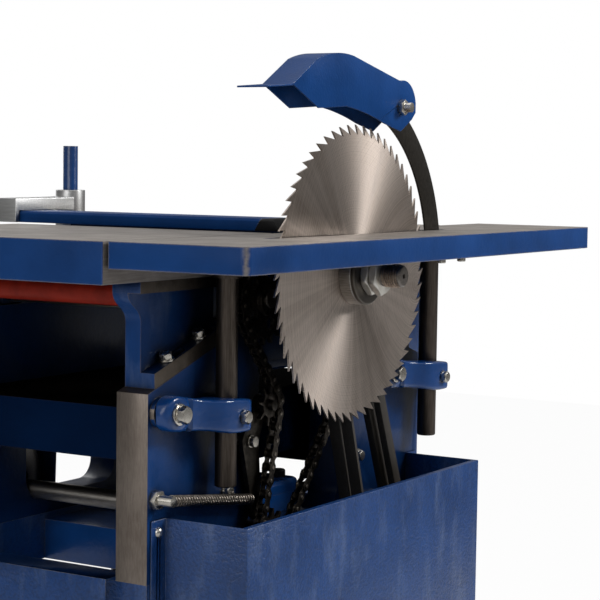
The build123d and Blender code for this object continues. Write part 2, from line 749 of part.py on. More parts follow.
def side_frame(saw_side):
    body = plate_x(frame_outline(), IN_X, OUT_X)
    window_top = S - (WINDOW_TOP if saw_side else FAR_WINDOW_TOP)
    window = rounded(WINDOW_FRONT, WINDOW_REAR, STAND_H + WINDOW_FOOT, window_top, WINDOW_R)
    body -= slab_x(window, IN_X - 1, OUT_X + 1)
    pocket_z = (STAND_H + POCKET_FOOT, S - POCKET_TOP)
    for y0 in (FRAME_FRONT + COLUMN_W, FRAME_REAR - COLUMN_W - POCKET_W):
        body -= slab_x(rounded(y0, y0 + POCKET_W, *pocket_z, POCKET_R), IN_X - 1, IN_X + POCKET_DEPTH)
    depth = SLOT_BOLT_IN + 2
    for way, y in slot_bolt_sites():
        hole = Pos(0, 0, 1 - depth / 2) * Cylinder(BOLT_R * SLOT_BOLT_SCALE + HOLE_GAP, depth)
        body -= way_plane(way, y, 0) * hole
    for y, z in frame_bolt_sites():
        body -= bolt_hole_x(OUT_X, y, z, k=FRAME_BOLT_SCALE)
    if not saw_side:
        for z in guard_screw_heights():
            body -= bolt_hole_x(OUT_X, GUARD_POST_Y, z)
        body -= rod_x(IN_X - 1, OUT_X + 1, INPUT_Y, INPUT_Z, GEAR_SHAFT_R + FIT + RUN_GAP)
        return mirror(body, about=Plane.YZ)
    body -= rod_x(IN_X - 1, OUT_X + 1, DRIVE_Y, DRIVE_Z, SHAFT_HOLE_R)
    for bolt_y, _ in clamp_sites():
        body += rod_x(OUT_X - 1, OUT_X + PAD_T, bolt_y, CLAMP_BOLT_Z, PAD_R)
        body -= bolt_hole_x(OUT_X + PAD_T, bolt_y, CLAMP_BOLT_Z, k=CLAMP_BOLT_SCALE)
    body -= rod_x(OUT_X - BOLT_GRIP, OUT_X + 1, *LEVER, LEVER_BOLT_R + HOLE_GAP)
    body -= rod_x(OUT_X - BOLT_GRIP, OUT_X + 1, *STUD, STUD_R + HOLE_GAP)
    for y, z in box_screw_sites()[0]:
        body -= rod_x(OUT_X - SCREW_GRIP, OUT_X + 1, y, z, SCREW_R + HOLE_GAP)
    return body


def frame_bolts():
    bolts = []
    for y, z in frame_bolt_sites():
        for way in (-1, 1):
            bolts.append(bolt_x(way * OUT_X, y, z, way=way, k=FRAME_BOLT_SCALE))
    face = OUT_X + PAD_T + CLAMP_T
    for bolt_y, _ in clamp_sites():
        bolts.append(bolt_x(face, bolt_y, CLAMP_BOLT_Z, grip=CLAMP_T + BOLT_GRIP, k=CLAMP_BOLT_SCALE))
    return group(*bolts)


def slot_bolts():
    """Bolts square to the ways, whose washers bear on the bracket feet and let them slide."""
    bolts = []
    height = (BRACKET_FOOT_T + RUN_GAP) * WAY_COS + RUN_GAP
    for way, y in slot_bolt_sites():
        near = bolt_on(way_plane(way, y, height), height + SLOT_BOLT_IN, SLOT_BOLT_SCALE)
        bolts += [near, mirror(near, about=Plane.YZ)]
    return group(*bolts)


# Post clamps
def post_clamp(bolt_y, post_y):
    """Cast lever: its outline from above and its outline from the side, each as a prism, make its form."""
    x0, x1 = OUT_X + PAD_T, OUT_X + PAD_T + CLAMP_T
    back, face = OUT_X + CLAMP_BACK, POST_X + CLAMP_EYE_OUT
    eye_z = S - CLAMP_MID_DROP
    r, end_r, half = CLAMP_ROUND, CLAMP_END_R, CLAMP_EYE_HALF
    nose, heel = bolt_y - end_r, post_y + half
    arm_y = bolt_y + end_r
    swell = CLAMP_ARM * 0.35
    plan = make_face(Curve() + [
        Bezier((x0, nose + r), (x0, nose - r / 3), (x1, nose - r / 3), (x1, nose + r)),
        Line((x1, nose + r), (x1, arm_y)),
        Bezier((x1, arm_y), (x1, arm_y + swell), (face, post_y - r - swell), (face, post_y - r)),
        Line((face, post_y - r), (face, heel - r)),
        ThreePointArc((face, heel - r), (face - r * 0.3, heel - r * 0.3), (face - r, heel)),
        Line((face - r, heel), (back, heel)),
        Line((back, heel), (back, post_y - half)),
        Line((back, post_y - half), (x0, post_y - half)),
        Line((x0, post_y - half), (x0, nose + r))])
    end = Pos(bolt_y, CLAMP_BOLT_Z) * Circle(end_r)
    eye = Pos(post_y, eye_z) * Rectangle(2 * half, CLAMP_H)
    tall = extrude(Pos(0, 0, eye_z - CLAMP_H) * plan, amount=2 * CLAMP_H)
    body = tall & slab_x(make_hull((end + eye).edges()), back - 1, face + 1)
    body -= rod_z(eye_z - CLAMP_H, eye_z + CLAMP_H, POST_X, post_y, POST_R + FIT)
    body -= rod_x(x0 - 1, x1 + 1, bolt_y, CLAMP_BOLT_Z, BOLT_R * CLAMP_BOLT_SCALE + HOLE_GAP)
    return body - rod_x(POST_X, face + 1, post_y, eye_z, LOCK_SCREW_R + HOLE_GAP)


def post_clamps():
    return group(*[post_clamp(bolt_y, post_y) for bolt_y, post_y in clamp_sites()])


def post_lock_screws():
    """Screws in the clamps' eyes, each with its end against the post."""
    screws = []
    z = S - CLAMP_MID_DROP
    face = POST_X + CLAMP_EYE_OUT
    for _, post_y in clamp_sites():
        shank = rod_x(POST_X + POST_R + RUN_GAP, face + 1, post_y, z, LOCK_SCREW_R)
        screws.append(shank + face_x(face, post_y, z) * hex_head(LOCK_SCREW_AF, BOLT_HEAD))
    return group(*screws)


# Spindle
def bearing_span(side):
    return sorted((side * (IN_X + FRAME_T / 2 - BEARING_W / 2), side * (IN_X + FRAME_T / 2 + BEARING_W / 2)))


def bearing_housings():
    housings = []
    arch_r = BEARING_R + HOUSING_WALL
    base = S - CROWN_DROP
    for side in (-1, 1):
        x0, x1 = sorted((side * IN_X, side * OUT_X))
        body = rod_x(x0, x1, 0, S, arch_r) + block(x0, x1, -arch_r, arch_r, base, S)
        body += block(x0, x1, -HOUSING_FOOT_HALF, HOUSING_FOOT_HALF, base, base + HOUSING_FOOT_H)
        body -= rod_x(*bearing_span(side), 0, S, BEARING_R)
        body -= rod_x(x0 - 1, x1 + 1, 0, S, JOURNAL_R + JOURNAL_GAP)
        housings.append(body)
    return group(*housings)


def spindle_bearings():
    rings = []
    for side in (-1, 1):
        x0, x1 = bearing_span(side)
        ring = rod_x(x0, x1, 0, S, BEARING_R) - rod_x(x0 - 1, x1 + 1, 0, S, JOURNAL_R + FIT)
        rings.append(ring)
    return group(*rings)


def thread_start():
    return BLADE_X + BLADE_T / 2 + OUTER_FLANGE_T


def spindle_end():
    return thread_start() + WASHER_T + NUT_COUNT * NUT_H + THREAD_OUT


def knife_frame(k):
    """Place of a knife slot: local Y points out of the block, local Z along the turn."""
    return Pos(0, 0, S) * Rot(360.0 * k / KNIFE_COUNT + 30, 0, 0)


def cutter_block():
    half = IN_X - BLOCK_END_GAP
    seat = OUT_X + JOURNAL_OUT
    tail = FEED_BELT_X - BELT_PITCH / 2 - FEED_SHAFT_OUT
    end = spindle_end()
    body = turn_x([(tail, 0), (tail, NOSE_R), (-seat, NOSE_R), (-seat, JOURNAL_R), (-half, JOURNAL_R),
                   (-half, BLOCK_R), (half, BLOCK_R), (half, JOURNAL_R), (seat, JOURNAL_R), (seat, NOSE_R),
                   (thread_start(), NOSE_R), (thread_start(), THREAD_R), (end - THREAD_BEVEL, THREAD_R),
                   (end, THREAD_R - THREAD_BEVEL), (end, 0)], 0, S)
    slot_w = KNIFE_T + WEDGE_T
    for k in range(KNIFE_COUNT):
        depth = CUT_R - KNIFE_W
        body -= knife_frame(k) * Pos(0, depth + BLOCK_R / 2, -slot_w / 2) * Box(2 * half + 2, BLOCK_R, slot_w)
    return body - rod_x(end - CENTRE_DEEP, end + 1, 0, S, CENTRE_R)


def cutter_knives():
    half = IN_X - BLOCK_END_GAP
    knives = []
    for k in range(KNIFE_COUNT):
        blank = Pos(0, CUT_R - KNIFE_W / 2, -KNIFE_T / 2) * Box(2 * half, KNIFE_W, KNIFE_T)
        back = blank.edges().group_by(Axis.Y)[-1].sort_by(Axis.Z)[0]
        knives.append(knife_frame(k) * chamfer(back, KNIFE_T - KNIFE_EDGE))
    return group(*knives)


def knife_wedges():
    half = IN_X - BLOCK_END_GAP
    wedges = []
    root = CUT_R - KNIFE_W
    height = BLOCK_R - WEDGE_DROP - root
    for k in range(KNIFE_COUNT):
        bar = Pos(0, root + height / 2, -KNIFE_T - WEDGE_T / 2) * Box(2 * half, height, WEDGE_T)
        wedges.append(knife_frame(k) * bar)
    return group(*wedges)


# Saw blade and its clamping
def saw_blade():
    outline = []
    tooth = ((BLADE_R, 0.0), (BLADE_R - GULLET, -HOOK_DEG), (BLADE_R - GULLET * 0.92, GULLET_DEG - HOOK_DEG))
    for k in range(TEETH):
        for r, turn in tooth:
            a = radians(360.0 * k / TEETH + turn)
            outline.append((r * cos(a), S + r * sin(a)))
    disc = plate_x(outline, BLADE_X - BLADE_T / 2, BLADE_X + BLADE_T / 2)
    return disc - rod_x(BLADE_X - 5, BLADE_X + 5, 0, S, NOSE_R)


def blade_flanges():
    inner_face = BLADE_X - BLADE_T / 2
    outer_face = BLADE_X + BLADE_T / 2
    inner = turn_x([(inner_face - INNER_FLANGE_T, NOSE_R), (inner_face, NOSE_R), (inner_face, FLANGE_R),
                    (inner_face - INNER_FLANGE_T, FLANGE_R)], 0, S)
    end = outer_face + OUTER_FLANGE_T
    outer = turn_x([(outer_face, NOSE_R), (end, NOSE_R), (end, FLANGE_R - 1), (end - 1, FLANGE_R),
                    (outer_face, FLANGE_R)], 0, S)
    washer = turn_x([(end, THREAD_R), (end + WASHER_T, THREAD_R), (end + WASHER_T, FLANGE_R - WASHER_BEVEL),
                     (end + WASHER_T - WASHER_BEVEL, FLANGE_R), (end, FLANGE_R)], 0, S)
    return group(inner, outer, washer)


def spindle_nuts():
    nuts = []
    for k in range(NUT_COUNT):
        x0 = thread_start() + WASHER_T + k * NUT_H
        x1 = x0 + NUT_H
        flat, point = NUT_AF * 0.53, NUT_AF * 0.6
        cone = turn_x([(x0, 0), (x0, flat), (x0 + NUT_BEVEL, point), (x1 - NUT_BEVEL, point), (x1, flat),
                       (x1, 0)], 0, S)
        blank = hex_x(x0, x1, 0, S, NUT_AF) & cone
        nuts.append(blank - rod_x(x0 - 1, x1 + 1, 0, S, THREAD_R))
    return group(*nuts)


# Feed rollers
def feed_roller(y, flutes):
    z = S - FEED_DROP
    half = IN_X - BLOCK_END_GAP
    end = CHAIN_X + SPROCKET_T / 2 + SPROCKET_HUB + 2
    if flutes:
        outline = []
        for k in range(flutes):
            for step, r in ((-0.3, FEED_ROLLER_R), (0.1, FEED_ROLLER_R), (0.35, FEED_ROLLER_R - FLUTE_DEPTH)):
                a = 2 * pi * (k + step) / flutes
                outline.append((y + r * cos(a), z + r * sin(a)))
        drum = plate_x(outline, -half, half)
    else:
        drum = rod_x(-half, half, y, z, FEED_ROLLER_R)
    return drum + rod_x(-OUT_X - FEED_SHAFT_OUT, end, y, z, FEED_SHAFT_R)


def roller_blocks():
    blocks = []
    base = S - CROWN_DROP
    top = S - FEED_DROP + BLOCK_TOP
    for side in (-1, 1):
        x0, x1 = sorted((side * (IN_X + BLOCK_INSET), side * (OUT_X - BLOCK_INSET)))
        for y in (-FEED_Y, FEED_Y):
            body = block(x0, x1, y - BLOCK_HALF, y + BLOCK_HALF, base, top)
            body = fillet(body.edges().filter_by(Axis.X).group_by(Axis.Z)[-1], BLOCK_HALF * 0.6)
            blocks.append(body - rod_x(x0 - 1, x1 + 1, y, S - FEED_DROP, FEED_SHAFT_R + FIT))
    return group(*blocks)


# Chain: wheels are listed in the order that the chain runs, counter-clockwise seen from the saw
def pitch_radius(teeth):
    return PITCH / 2 / sin(pi / teeth)


def chain_wheels():
    return [((DRIVE_Y, DRIVE_Z), pitch_radius(DRIVE_TEETH), 1),
            ((FEED_Y, S - FEED_DROP), pitch_radius(ROLLER_TEETH), 1),
            ((-FEED_Y, S - FEED_DROP), pitch_radius(ROLLER_TEETH), 1),
            (IDLER, pitch_radius(IDLER_TEETH), -1)]


def chain_runs():
    """Straight runs and wraps in order: ('line', start, end) and ('arc', wheel, angle, turn)."""
    wheels = chain_wheels()
    lines = []
    for k, wheel in enumerate(wheels):
        after = wheels[(k + 1) % len(wheels)]
        lines.append(tangents(*wheel, *after))
    runs = []
    for k, (start, end, heading) in enumerate(lines):
        runs.append(("line", start, end, hypot(end[0] - start[0], end[1] - start[1])))
        centre, r, sense = wheels[(k + 1) % len(wheels)]
        next_heading = lines[(k + 1) % len(lines)][2]
        turn = (sense * (next_heading - heading)) % (2 * pi)
        angle = atan2(end[1] - centre[1], end[0] - centre[0])
        runs.append(("arc", (centre, r, sense), angle, turn * r))
    return runs


def chain_pins():
    runs = chain_runs()
    total = sum(run[3] for run in runs)
    count = 2 * round(total / PITCH / 2)
    pins = []
    for k in range(count):
        left = total * k / count
        for kind, first, second, length in runs:
            if left > length:
                left -= length
                continue
            if kind == "line":
                t = left / length
                pins.append((first[0] + t * (second[0] - first[0]), first[1] + t * (second[1] - first[1])))
            else:
                centre, r, sense = first
                a = second + sense * left / r
                pins.append((centre[0] + r * cos(a), centre[1] + r * sin(a)))
            break
    return pins


def chain_plate(a, b, x0, x1):
    length = hypot(b[0] - a[0], b[1] - a[1])
    h, w = CHAIN_PLATE_HALF, CHAIN_PLATE_WAIST
    c = h * 0.42
    lower = [(-h, -c), (-c, -h), (c, -h), (length / 2, -w)]
    lower += [(length - c, -h), (length + c, -h), (length + h, -c)]
    outline = lower + [(y, -z) for y, z in reversed(lower)]
    turn = degrees(atan2(b[1] - a[1], b[0] - a[0]))
    sketch = Pos(a[0], a[1]) * Rot(0, 0, turn) * Polygon(*outline, align=None)
    return slab_x(sketch, x0, x1)


def feed_chain():
    """Inner links with their rollers, and outer plates with the ends of their pins."""
    pins = chain_pins()
    near = CHAIN_INNER_HALF
    mid = near + CHAIN_PLATE_T
    far = mid + CHAIN_PLATE_T
    links = []
    for k, pin in enumerate(pins):
        after = pins[(k + 1) % len(pins)]
        if k % 2:
            for way in (-1, 1):
                x0, x1 = sorted((CHAIN_X + way * mid, CHAIN_X + way * far))
                out = sorted((CHAIN_X + way * far, CHAIN_X + way * (far + CHAIN_PIN_OUT)))
                ends = [slab_x(Pos(*p) * RegularPolygon(CHAIN_PIN_R, 8), *out) for p in (pin, after)]
                links.append(chain_plate(pin, after, x0, x1).fuse(*ends))
            continue
        link = chain_plate(pin, after, CHAIN_X + near, CHAIN_X + mid)
        across = (CHAIN_X - near, CHAIN_X + near)
        rollers = [slab_x(Pos(*p) * RegularPolygon(CHAIN_ROLLER_R, 8), *across) for p in (pin, after)]
        links.append(link.fuse(*rollers, chain_plate(pin, after, CHAIN_X - mid, CHAIN_X - near)))
    return group(*links)


def sprocket(wheel, teeth, bore):
    """Chain wheel turned so that its gaps hold the pins that lie on it."""
    (y, z), r, _ = wheel
    seated = [p for p in chain_pins() if abs(hypot(p[0] - y, p[1] - z) - r) < 0.02]
    angles = [atan2(p[1] - z, p[0] - y) for p in seated]
    phase = angles[len(angles) // 2]
    root = r - CHAIN_ROLLER_R - ROOT_GAP
    tip = r + TOOTH_OUT
    half = pi / teeth
    gap = CHAIN_ROLLER_R * 0.75 / root
    flat = TOOTH_FLAT / tip
    outline = []
    for k in range(teeth):
        a = phase + 2 * half * k
        for rad, turn in ((root, -gap), (root, gap), (tip, half - flat), (tip, half + flat)):
            outline.append((y + rad * cos(a + turn), z + rad * sin(a + turn)))
    body = plate_x(outline, CHAIN_X - SPROCKET_T / 2, CHAIN_X + SPROCKET_T / 2)
    return body - rod_x(CHAIN_X - SPROCKET_T, CHAIN_X + SPROCKET_T, y, z, bore)


def roller_sprocket(index):
    wheel = chain_wheels()[index]
    (y, z), r, _ = wheel
    body = sprocket(wheel, ROLLER_TEETH, FEED_SHAFT_R)
    half = SPROCKET_T / 2 + SPROCKET_HUB
    hub = rod_x(CHAIN_X - half, CHAIN_X + half, y, z, SPROCKET_HUB_R)
    body += hub - rod_x(CHAIN_X - half - 1, CHAIN_X + half + 1, y, z, FEED_SHAFT_R)
    holes = 5
    for k in range(holes):
        a = 2 * pi * k / holes
        body -= rod_x(CHAIN_X - half, CHAIN_X + half, y + 0.62 * r * cos(a), z + 0.62 * r * sin(a), r * 0.15)
    return body


def drive_sprocket():
    body = sprocket(chain_wheels()[0], DRIVE_TEETH, GEAR_SHAFT_R - 2)
    end = CHAIN_X + SPROCKET_T / 2 + SPROCKET_HUB
    return body + rod_x(IN_X - GEAR_SHAFT_IN, end, DRIVE_Y, DRIVE_Z, GEAR_SHAFT_R)


def idler_sprocket():
    return sprocket(chain_wheels()[3], IDLER_TEETH, BOLT_R + FIT)


# Chain tensioner
def tension_lever():
    x0, x1 = LEVER_X, LEVER_X + LEVER_T
    upper = slab_x(make_link(*LEVER, LEVER_HUB_R, *IDLER, LEVER_IDLER_R), x0, x1)
    lower = slab_x(make_link(*LEVER, LEVER_HUB_R, *LEVER_TAIL, LEVER_TAIL_R), x0, x1)
    body = upper + lower - rod_x(x0 - 1, x1 + 1, *LEVER, LEVER_BOLT_R + FIT)
    body += rod_x(x1, CHAIN_X + SPROCKET_T / 2 + LEVER_T, *IDLER, BOLT_R)
    body += rod_x(x1, CHAIN_X - SPROCKET_T / 2 - RUN_GAP, *IDLER, BOLT_R * 1.5)
    return body - spring_holes()


def lever_pivot_bolt():
    r = LEVER_BOLT_R
    face = LEVER_X + LEVER_T + RUN_GAP
    seat = face + WASHER_H / 2
    spacer = rod_x(OUT_X, LEVER_X - RUN_GAP, *LEVER, r * 2.2)
    shank = rod_x(OUT_X - BOLT_GRIP + 1, face, *LEVER, r)
    washer = rod_x(face, seat, *LEVER, r * 1.85)
    return spacer + shank + washer + rod_x(seat, seat + r * 1.4, *LEVER, r * 1.55)


def spring_axis():
    """Ends of the spring's axis, on the stud and at the lever's front edge over its tail."""
    low, high, _ = tangents(LEVER_TAIL, LEVER_TAIL_R, -1, LEVER, LEVER_HUB_R, -1)
    eye_z = LEVER_TAIL[1] + SPRING_EYE_UP
    share = (eye_z - low[1]) / (high[1] - low[1])
    eye_y = low[0] + share * (high[0] - low[0]) + SPRING_EYE_IN
    x = OUT_X + SPRING_OUT
    return Vector(x, *STUD), Vector(x, eye_y, eye_z)


def spring_ends():
    """Directions of the spring and the ends of its tails, inside the stud and the lever's edge."""
    start, end = spring_axis()
    along = (end - start).normalized()
    side = Vector(-1, 0, 0)
    return along, side, along.cross(side), start + along * (STUD_R - HOOK_IN), end + along * HOOK_IN


def spring_holes():
    along, side, up, first, last = spring_ends()
    holes = []
    for point, way in ((first, -1), (last, 1)):
        mouth = point + side * SPRING_R + up * way * HOOK_BEND - along * way * HOOK_IN * 3
        plane = Plane(origin=mouth, z_dir=along * way)
        holes.append(extrude(plane * Circle(WIRE_R + HOLE_GAP), amount=HOOK_IN * 3 + 1, dir=along * way))
    return holes[0] + holes[1]


def spring_stud():
    stud = rod_x(OUT_X - BOLT_GRIP + 1, OUT_X + SPRING_OUT + 2 * SPRING_R, *STUD, STUD_R)
    nut = hex_x(OUT_X, OUT_X + BOLT_HEAD, *STUD, BOLT_AF)
    return stud + nut - spring_holes()


def wire_gap(path):
    """Least distance between two stretches of the wire's surface, from points a millimetre apart."""
    count = round(path.length)
    points = [path @ (k / count) for k in range(count + 1)]
    apart = round(2 * pi * SPRING_R / 3)
    least = min((points[i] - points[j]).length for i in range(count) for j in range(i + apart, count, 1)
                if abs(points[i].Y - points[j].Y) < 2 * SPRING_R)
    return least - 2 * WIRE_R


def tensioner_spring():
    """Extension spring of half-turn arcs that meet in line, with a bent straight tail at each end."""
    along, side, up, first, last = spring_ends()
    tail = HOOK_IN + 2 * WIRE_R
    span = (last - first).length - 2 * (tail + HOOK_BEND)
    lift = span / SPRING_TURNS
    bulge = hypot(SPRING_R, lift / 4)
    origin = first + along * (tail + HOOK_BEND)

    def at(x, y, z):
        return origin + side * x + up * y + along * z

    pieces = [Line(at(SPRING_R, -HOOK_BEND, -HOOK_BEND - tail), at(SPRING_R, -HOOK_BEND, -HOOK_BEND))]
    c = HOOK_BEND * (1 - sin(pi / 4))
    pieces.append(ThreePointArc(at(SPRING_R, -HOOK_BEND, -HOOK_BEND), at(SPRING_R, c - HOOK_BEND, -c),
                                at(SPRING_R, 0, 0)))
    points = [at(SPRING_R, 0, 0)]
    for k in range(2 * SPRING_TURNS):
        sense = 1 if k % 2 == 0 else -1
        z0 = k * lift / 2
        mid = at(0, sense * bulge, z0 + lift / 4)
        end = at(-sense * SPRING_R, 0, z0 + lift / 2)
        pieces.append(ThreePointArc(points[-1], mid, end))
        points.append(end)
    bend_end = span + HOOK_BEND
    pieces.append(ThreePointArc(at(SPRING_R, 0, span), at(SPRING_R, HOOK_BEND - c, span + c),
                                at(SPRING_R, HOOK_BEND, bend_end)))
    pieces.append(Line(at(SPRING_R, HOOK_BEND, bend_end), at(SPRING_R, HOOK_BEND, bend_end + tail)))
    path = Wire([edge for piece in pieces for edge in piece.edges()])
    print("spring's least gap to itself", round(wire_gap(path), 2), "mm")
    section = Plane(origin=path @ 0, z_dir=path % 0) * Circle(WIRE_R)
    return sweep(section, path=path)


# Feed gearbox
def gearbox_housing():
    x0, x1 = IN_X - GEAR_T, IN_X
    seam = GEAR_Z - GEAR_LID
    body = block(x0, x1, GEAR_Y0, GEAR_Y1, STAND_H, seam)
    body = fillet(body.edges().filter_by(Axis.Z), GEAR_CORNER)
    out = GEAR_LID_OUT
    lid = block(x0 - out, x1, GEAR_Y0 - out, GEAR_Y1 + out, seam, GEAR_Z)
    lid = fillet(lid.edges().filter_by(Axis.Z), GEAR_CORNER + 1)
    lid = fillet(lid.edges().group_by(Axis.Z)[-1], GEAR_LID * 0.4)
    lid -= rod_z(GEAR_Z - CAP_STEM - 1, GEAR_Z + 1, x1 - CAP_IN, CAP_Y, CAP_STEM_R + FIT)
    depth = GEAR_SHAFT_IN + 4
    body -= rod_x(x1 - depth, x1 + 1, DRIVE_Y, DRIVE_Z, GEAR_SHAFT_R + FIT)
    body -= rod_x(x0 - 1, x0 + depth, INPUT_Y, INPUT_Z, GEAR_SHAFT_R + FIT)
    return group(body, lid)


def gearbox_cap():
    x = IN_X - CAP_IN
    knob = rod_z(GEAR_Z, GEAR_Z + CAP_H, x, CAP_Y, CAP_R)
    knob = fillet(knob.edges().group_by(Axis.Z)[-1], CAP_H * 0.3)
    return rod_z(GEAR_Z - CAP_STEM, GEAR_Z, x, CAP_Y, CAP_STEM_R) + knob


def far_belt_cover():
    """Sheet cover over the feed belt on the far side, open towards the frame."""
    big = LARGE_FEED_PD / 2 + COVER_GAP + BELT_H / 2
    small = SMALL_FEED_PD / 2 + COVER_GAP
    outer = make_link(0, S, small, INPUT_Y, INPUT_Z, big)
    inner = make_link(0, S, small - COVER_WALL, INPUT_Y, INPUT_Z, big - COVER_WALL)
    x0 = -OUT_X - COVER_DEPTH
    shell = slab_x(outer, x0, -OUT_X) - slab_x(inner, x0 + COVER_WALL, -OUT_X + 1)
    return shell - block(-OUT_X - 1, -OUT_X + 1, -2 * HOUSING_FOOT_HALF, 2 * HOUSING_FOOT_HALF,
                         S - CROWN_DROP, S + CUT_R)


# Belt box
def box_screw_sites():
    """Places of the upper screws, in the side frame, and of the lower ones, in the stand's legs."""
    flanges = (BOX_FRONT - BOX_FLANGE / 2, BOX_REAR + BOX_FLANGE / 2)
    heights = (S - BOX_TOP_DROP - BOX_SCREW_TOP, S - BOX_FOOT_DROP + BOX_SCREW_FOOT)
    return [[(y, z) for y in flanges] for z in heights]


def belt_box():
    x0, x1 = OUT_X, OUT_X + BOX_OUT
    z0, z1 = S - BOX_FOOT_DROP, S - BOX_TOP_DROP
    w = BOX_WALL
    body = block(x0, x1, BOX_FRONT, BOX_REAR, z0, z1)
    body -= block(x0 - 1, x1 - w, BOX_FRONT + w, BOX_REAR - w, z0 + w, z1 + 1)
    body += block(x1 - BOX_LIP, x1, BOX_FRONT, BOX_REAR, z1 - w, z1)
    for y0, y1 in ((BOX_FRONT - BOX_FLANGE, BOX_FRONT), (BOX_REAR, BOX_REAR + BOX_FLANGE)):
        body += block(x0, x0 + w, y0, y1, z0, z1)
    for y, z in sum(box_screw_sites(), []):
        body -= rod_x(x0 - 1, x0 + w + 1, y, z, SCREW_R + HOLE_GAP)
    return body


def belt_box_screws():
    screws = []
    x = OUT_X + BOX_WALL
    for y, z in sum(box_screw_sites(), []):
        dome = turn_x([(x, 0), (x, SCREW_HEAD_R), (x + SCREW_HEAD * 0.6, SCREW_HEAD_R * 0.8),
                       (x + SCREW_HEAD, SCREW_HEAD_R * 0.35), (x + SCREW_HEAD, 0)], y, z)
        screws.append(dome + rod_x(x - SCREW_GRIP, x, y, z, SCREW_R))
    return group(*screws)


# Saw table
def saw_table():
    x0 = OUT_X + SAW_SEAM
    x1 = BLADE_X + SAW_OUT
    z0 = TOP_Z - SAW_EDGE
    body = block(x0, x1, SAW_FRONT, SAW_REAR, z0, TOP_Z)
    body = fillet(body.edges().filter_by(Axis.Z).group_by(Axis.X)[-1], SAW_CORNER)
    body -= block(x0 - 1, x1 - SAW_RIM, SAW_FRONT + SAW_RIM, SAW_REAR - SAW_RIM, z0 - 1, TOP_Z - SAW_PLATE)
    for y in (POST_FRONT, POST_REAR):
        body += rod_z(z0, TOP_Z - SAW_PLATE / 2, POST_X, y, COLLAR_R)
        half = SAW_RIB_T / 2
        body += block(POST_X, x1 - SAW_RIM / 2, y - half, y + half, z0 + SAW_RIB_UP, TOP_Z - SAW_PLATE / 2)
        body -= rod_z(z0 - 1, TOP_Z - SAW_PLATE, POST_X, y, POST_R)
    body -= block(BLADE_X - SLOT_HALF, BLADE_X + SLOT_HALF, SLOT_FRONT, SLOT_REAR, z0 - 1, TOP_Z + 1)
    return body


def table_posts():
    posts = []
    seat = TOP_Z - SAW_EDGE
    for y in (POST_FRONT, POST_REAR):
        post = rod_z(S - POST_END_DROP, TOP_Z - SAW_PLATE, POST_X, y, POST_R)
        collar = rod_z(seat - COLLAR_H, seat, POST_X, y, POST_R + COLLAR_WALL)
        posts.append(chamfer(post.edges().group_by(Axis.Z)[0], POST_BEVEL) + collar)
    return group(*posts)


def knife_foot():
    return TOP_Z - SAW_EDGE + KNIFE_FOOT_IN


def riving_knife():
    """Crescent behind the blade: two arcs from the table slot up to the hood bolt."""
    foot = knife_foot() - S
    tip = atan2(HOOD_PIVOT[1] - S, HOOD_PIVOT_Y)
    reach = hypot(HOOD_PIVOT_Y, HOOD_PIVOT[1] - S)
    arcs = []
    for r, end_r in ((KNIFE_IN_R, reach - KNIFE_TIP_IN), (KNIFE_OUT_R, reach + KNIFE_TIP_OUT)):
        base = asin(foot / r)
        spots = ((r, base), ((r + end_r) / 2, (base + tip) / 2), (end_r, tip))
        arcs.append([(rad * cos(a), S + rad * sin(a)) for rad, a in spots])
    inner, outer = arcs
    outline = Curve() + [ThreePointArc(*inner), Line(inner[2], outer[2]), ThreePointArc(*outer),
                         Line(outer[0], inner[0])]
    blade = slab_x(make_face(outline), BLADE_X - RIVING_T / 2, BLADE_X + RIVING_T / 2)
    return blade - rod_x(BLADE_X - RIVING_T, BLADE_X + RIVING_T, *HOOD_PIVOT, BOLT_R + HOLE_GAP)


def knife_bracket():
    """Clamp block under the table that holds the knife's foot, with its two stud ends."""
    foot_z = knife_foot()
    y0 = KNIFE_IN_R - KNIFE_FOOT_IN
    face = BLADE_X - RIVING_T / 2
    body = block(face - KNIFE_BLOCK_T, face, y0, y0 + KNIFE_BLOCK_LEN, foot_z, TOP_Z - SAW_PLATE)
    far = face + RIVING_T
    cheek = block(far, far + KNIFE_CHEEK_T, y0, KNIFE_OUT_R + KNIFE_FOOT_IN, foot_z, TOP_Z - SAW_PLATE)
    cheek -= block(far - 1, BLADE_X + SLOT_HALF + 1, SLOT_FRONT, SLOT_REAR, TOP_Z - SAW_PLATE - 1, TOP_Z)
    studs = []
    for step in KNIFE_STUDS:
        place = (face - KNIFE_BLOCK_T / 2, KNIFE_OUT_R + step)
        studs.append(rod_z(foot_z - KNIFE_STUD, foot_z, *place, KNIFE_STUD_R))
    return group(body.fuse(*studs), cheek)


# Hood
def hood_side():
    """Side of the hood: front slope, crown, straight back, round tail and arched under edge."""
    crown = [(y, BLADE_TOP + rise) for y, rise in HOOD_CROWN]
    tail = [(y, BLADE_TOP + rise) for y, rise in HOOD_TAIL]
    under = [(y, BLADE_TOP + rise) for y, rise in HOOD_UNDER]
    return make_face(Curve() + [
        Line(crown[0], crown[1]),
        ThreePointArc(crown[1], crown[2], crown[3]),
        Line(crown[3], crown[4]),
        ThreePointArc(crown[4], tail[0], tail[1]),
        Polyline(*tail[1:], under[0]),
        ThreePointArc(under[0], under[1], under[2]),
        ThreePointArc(under[2], under[3], under[4]),
        Line(under[4], crown[0])])


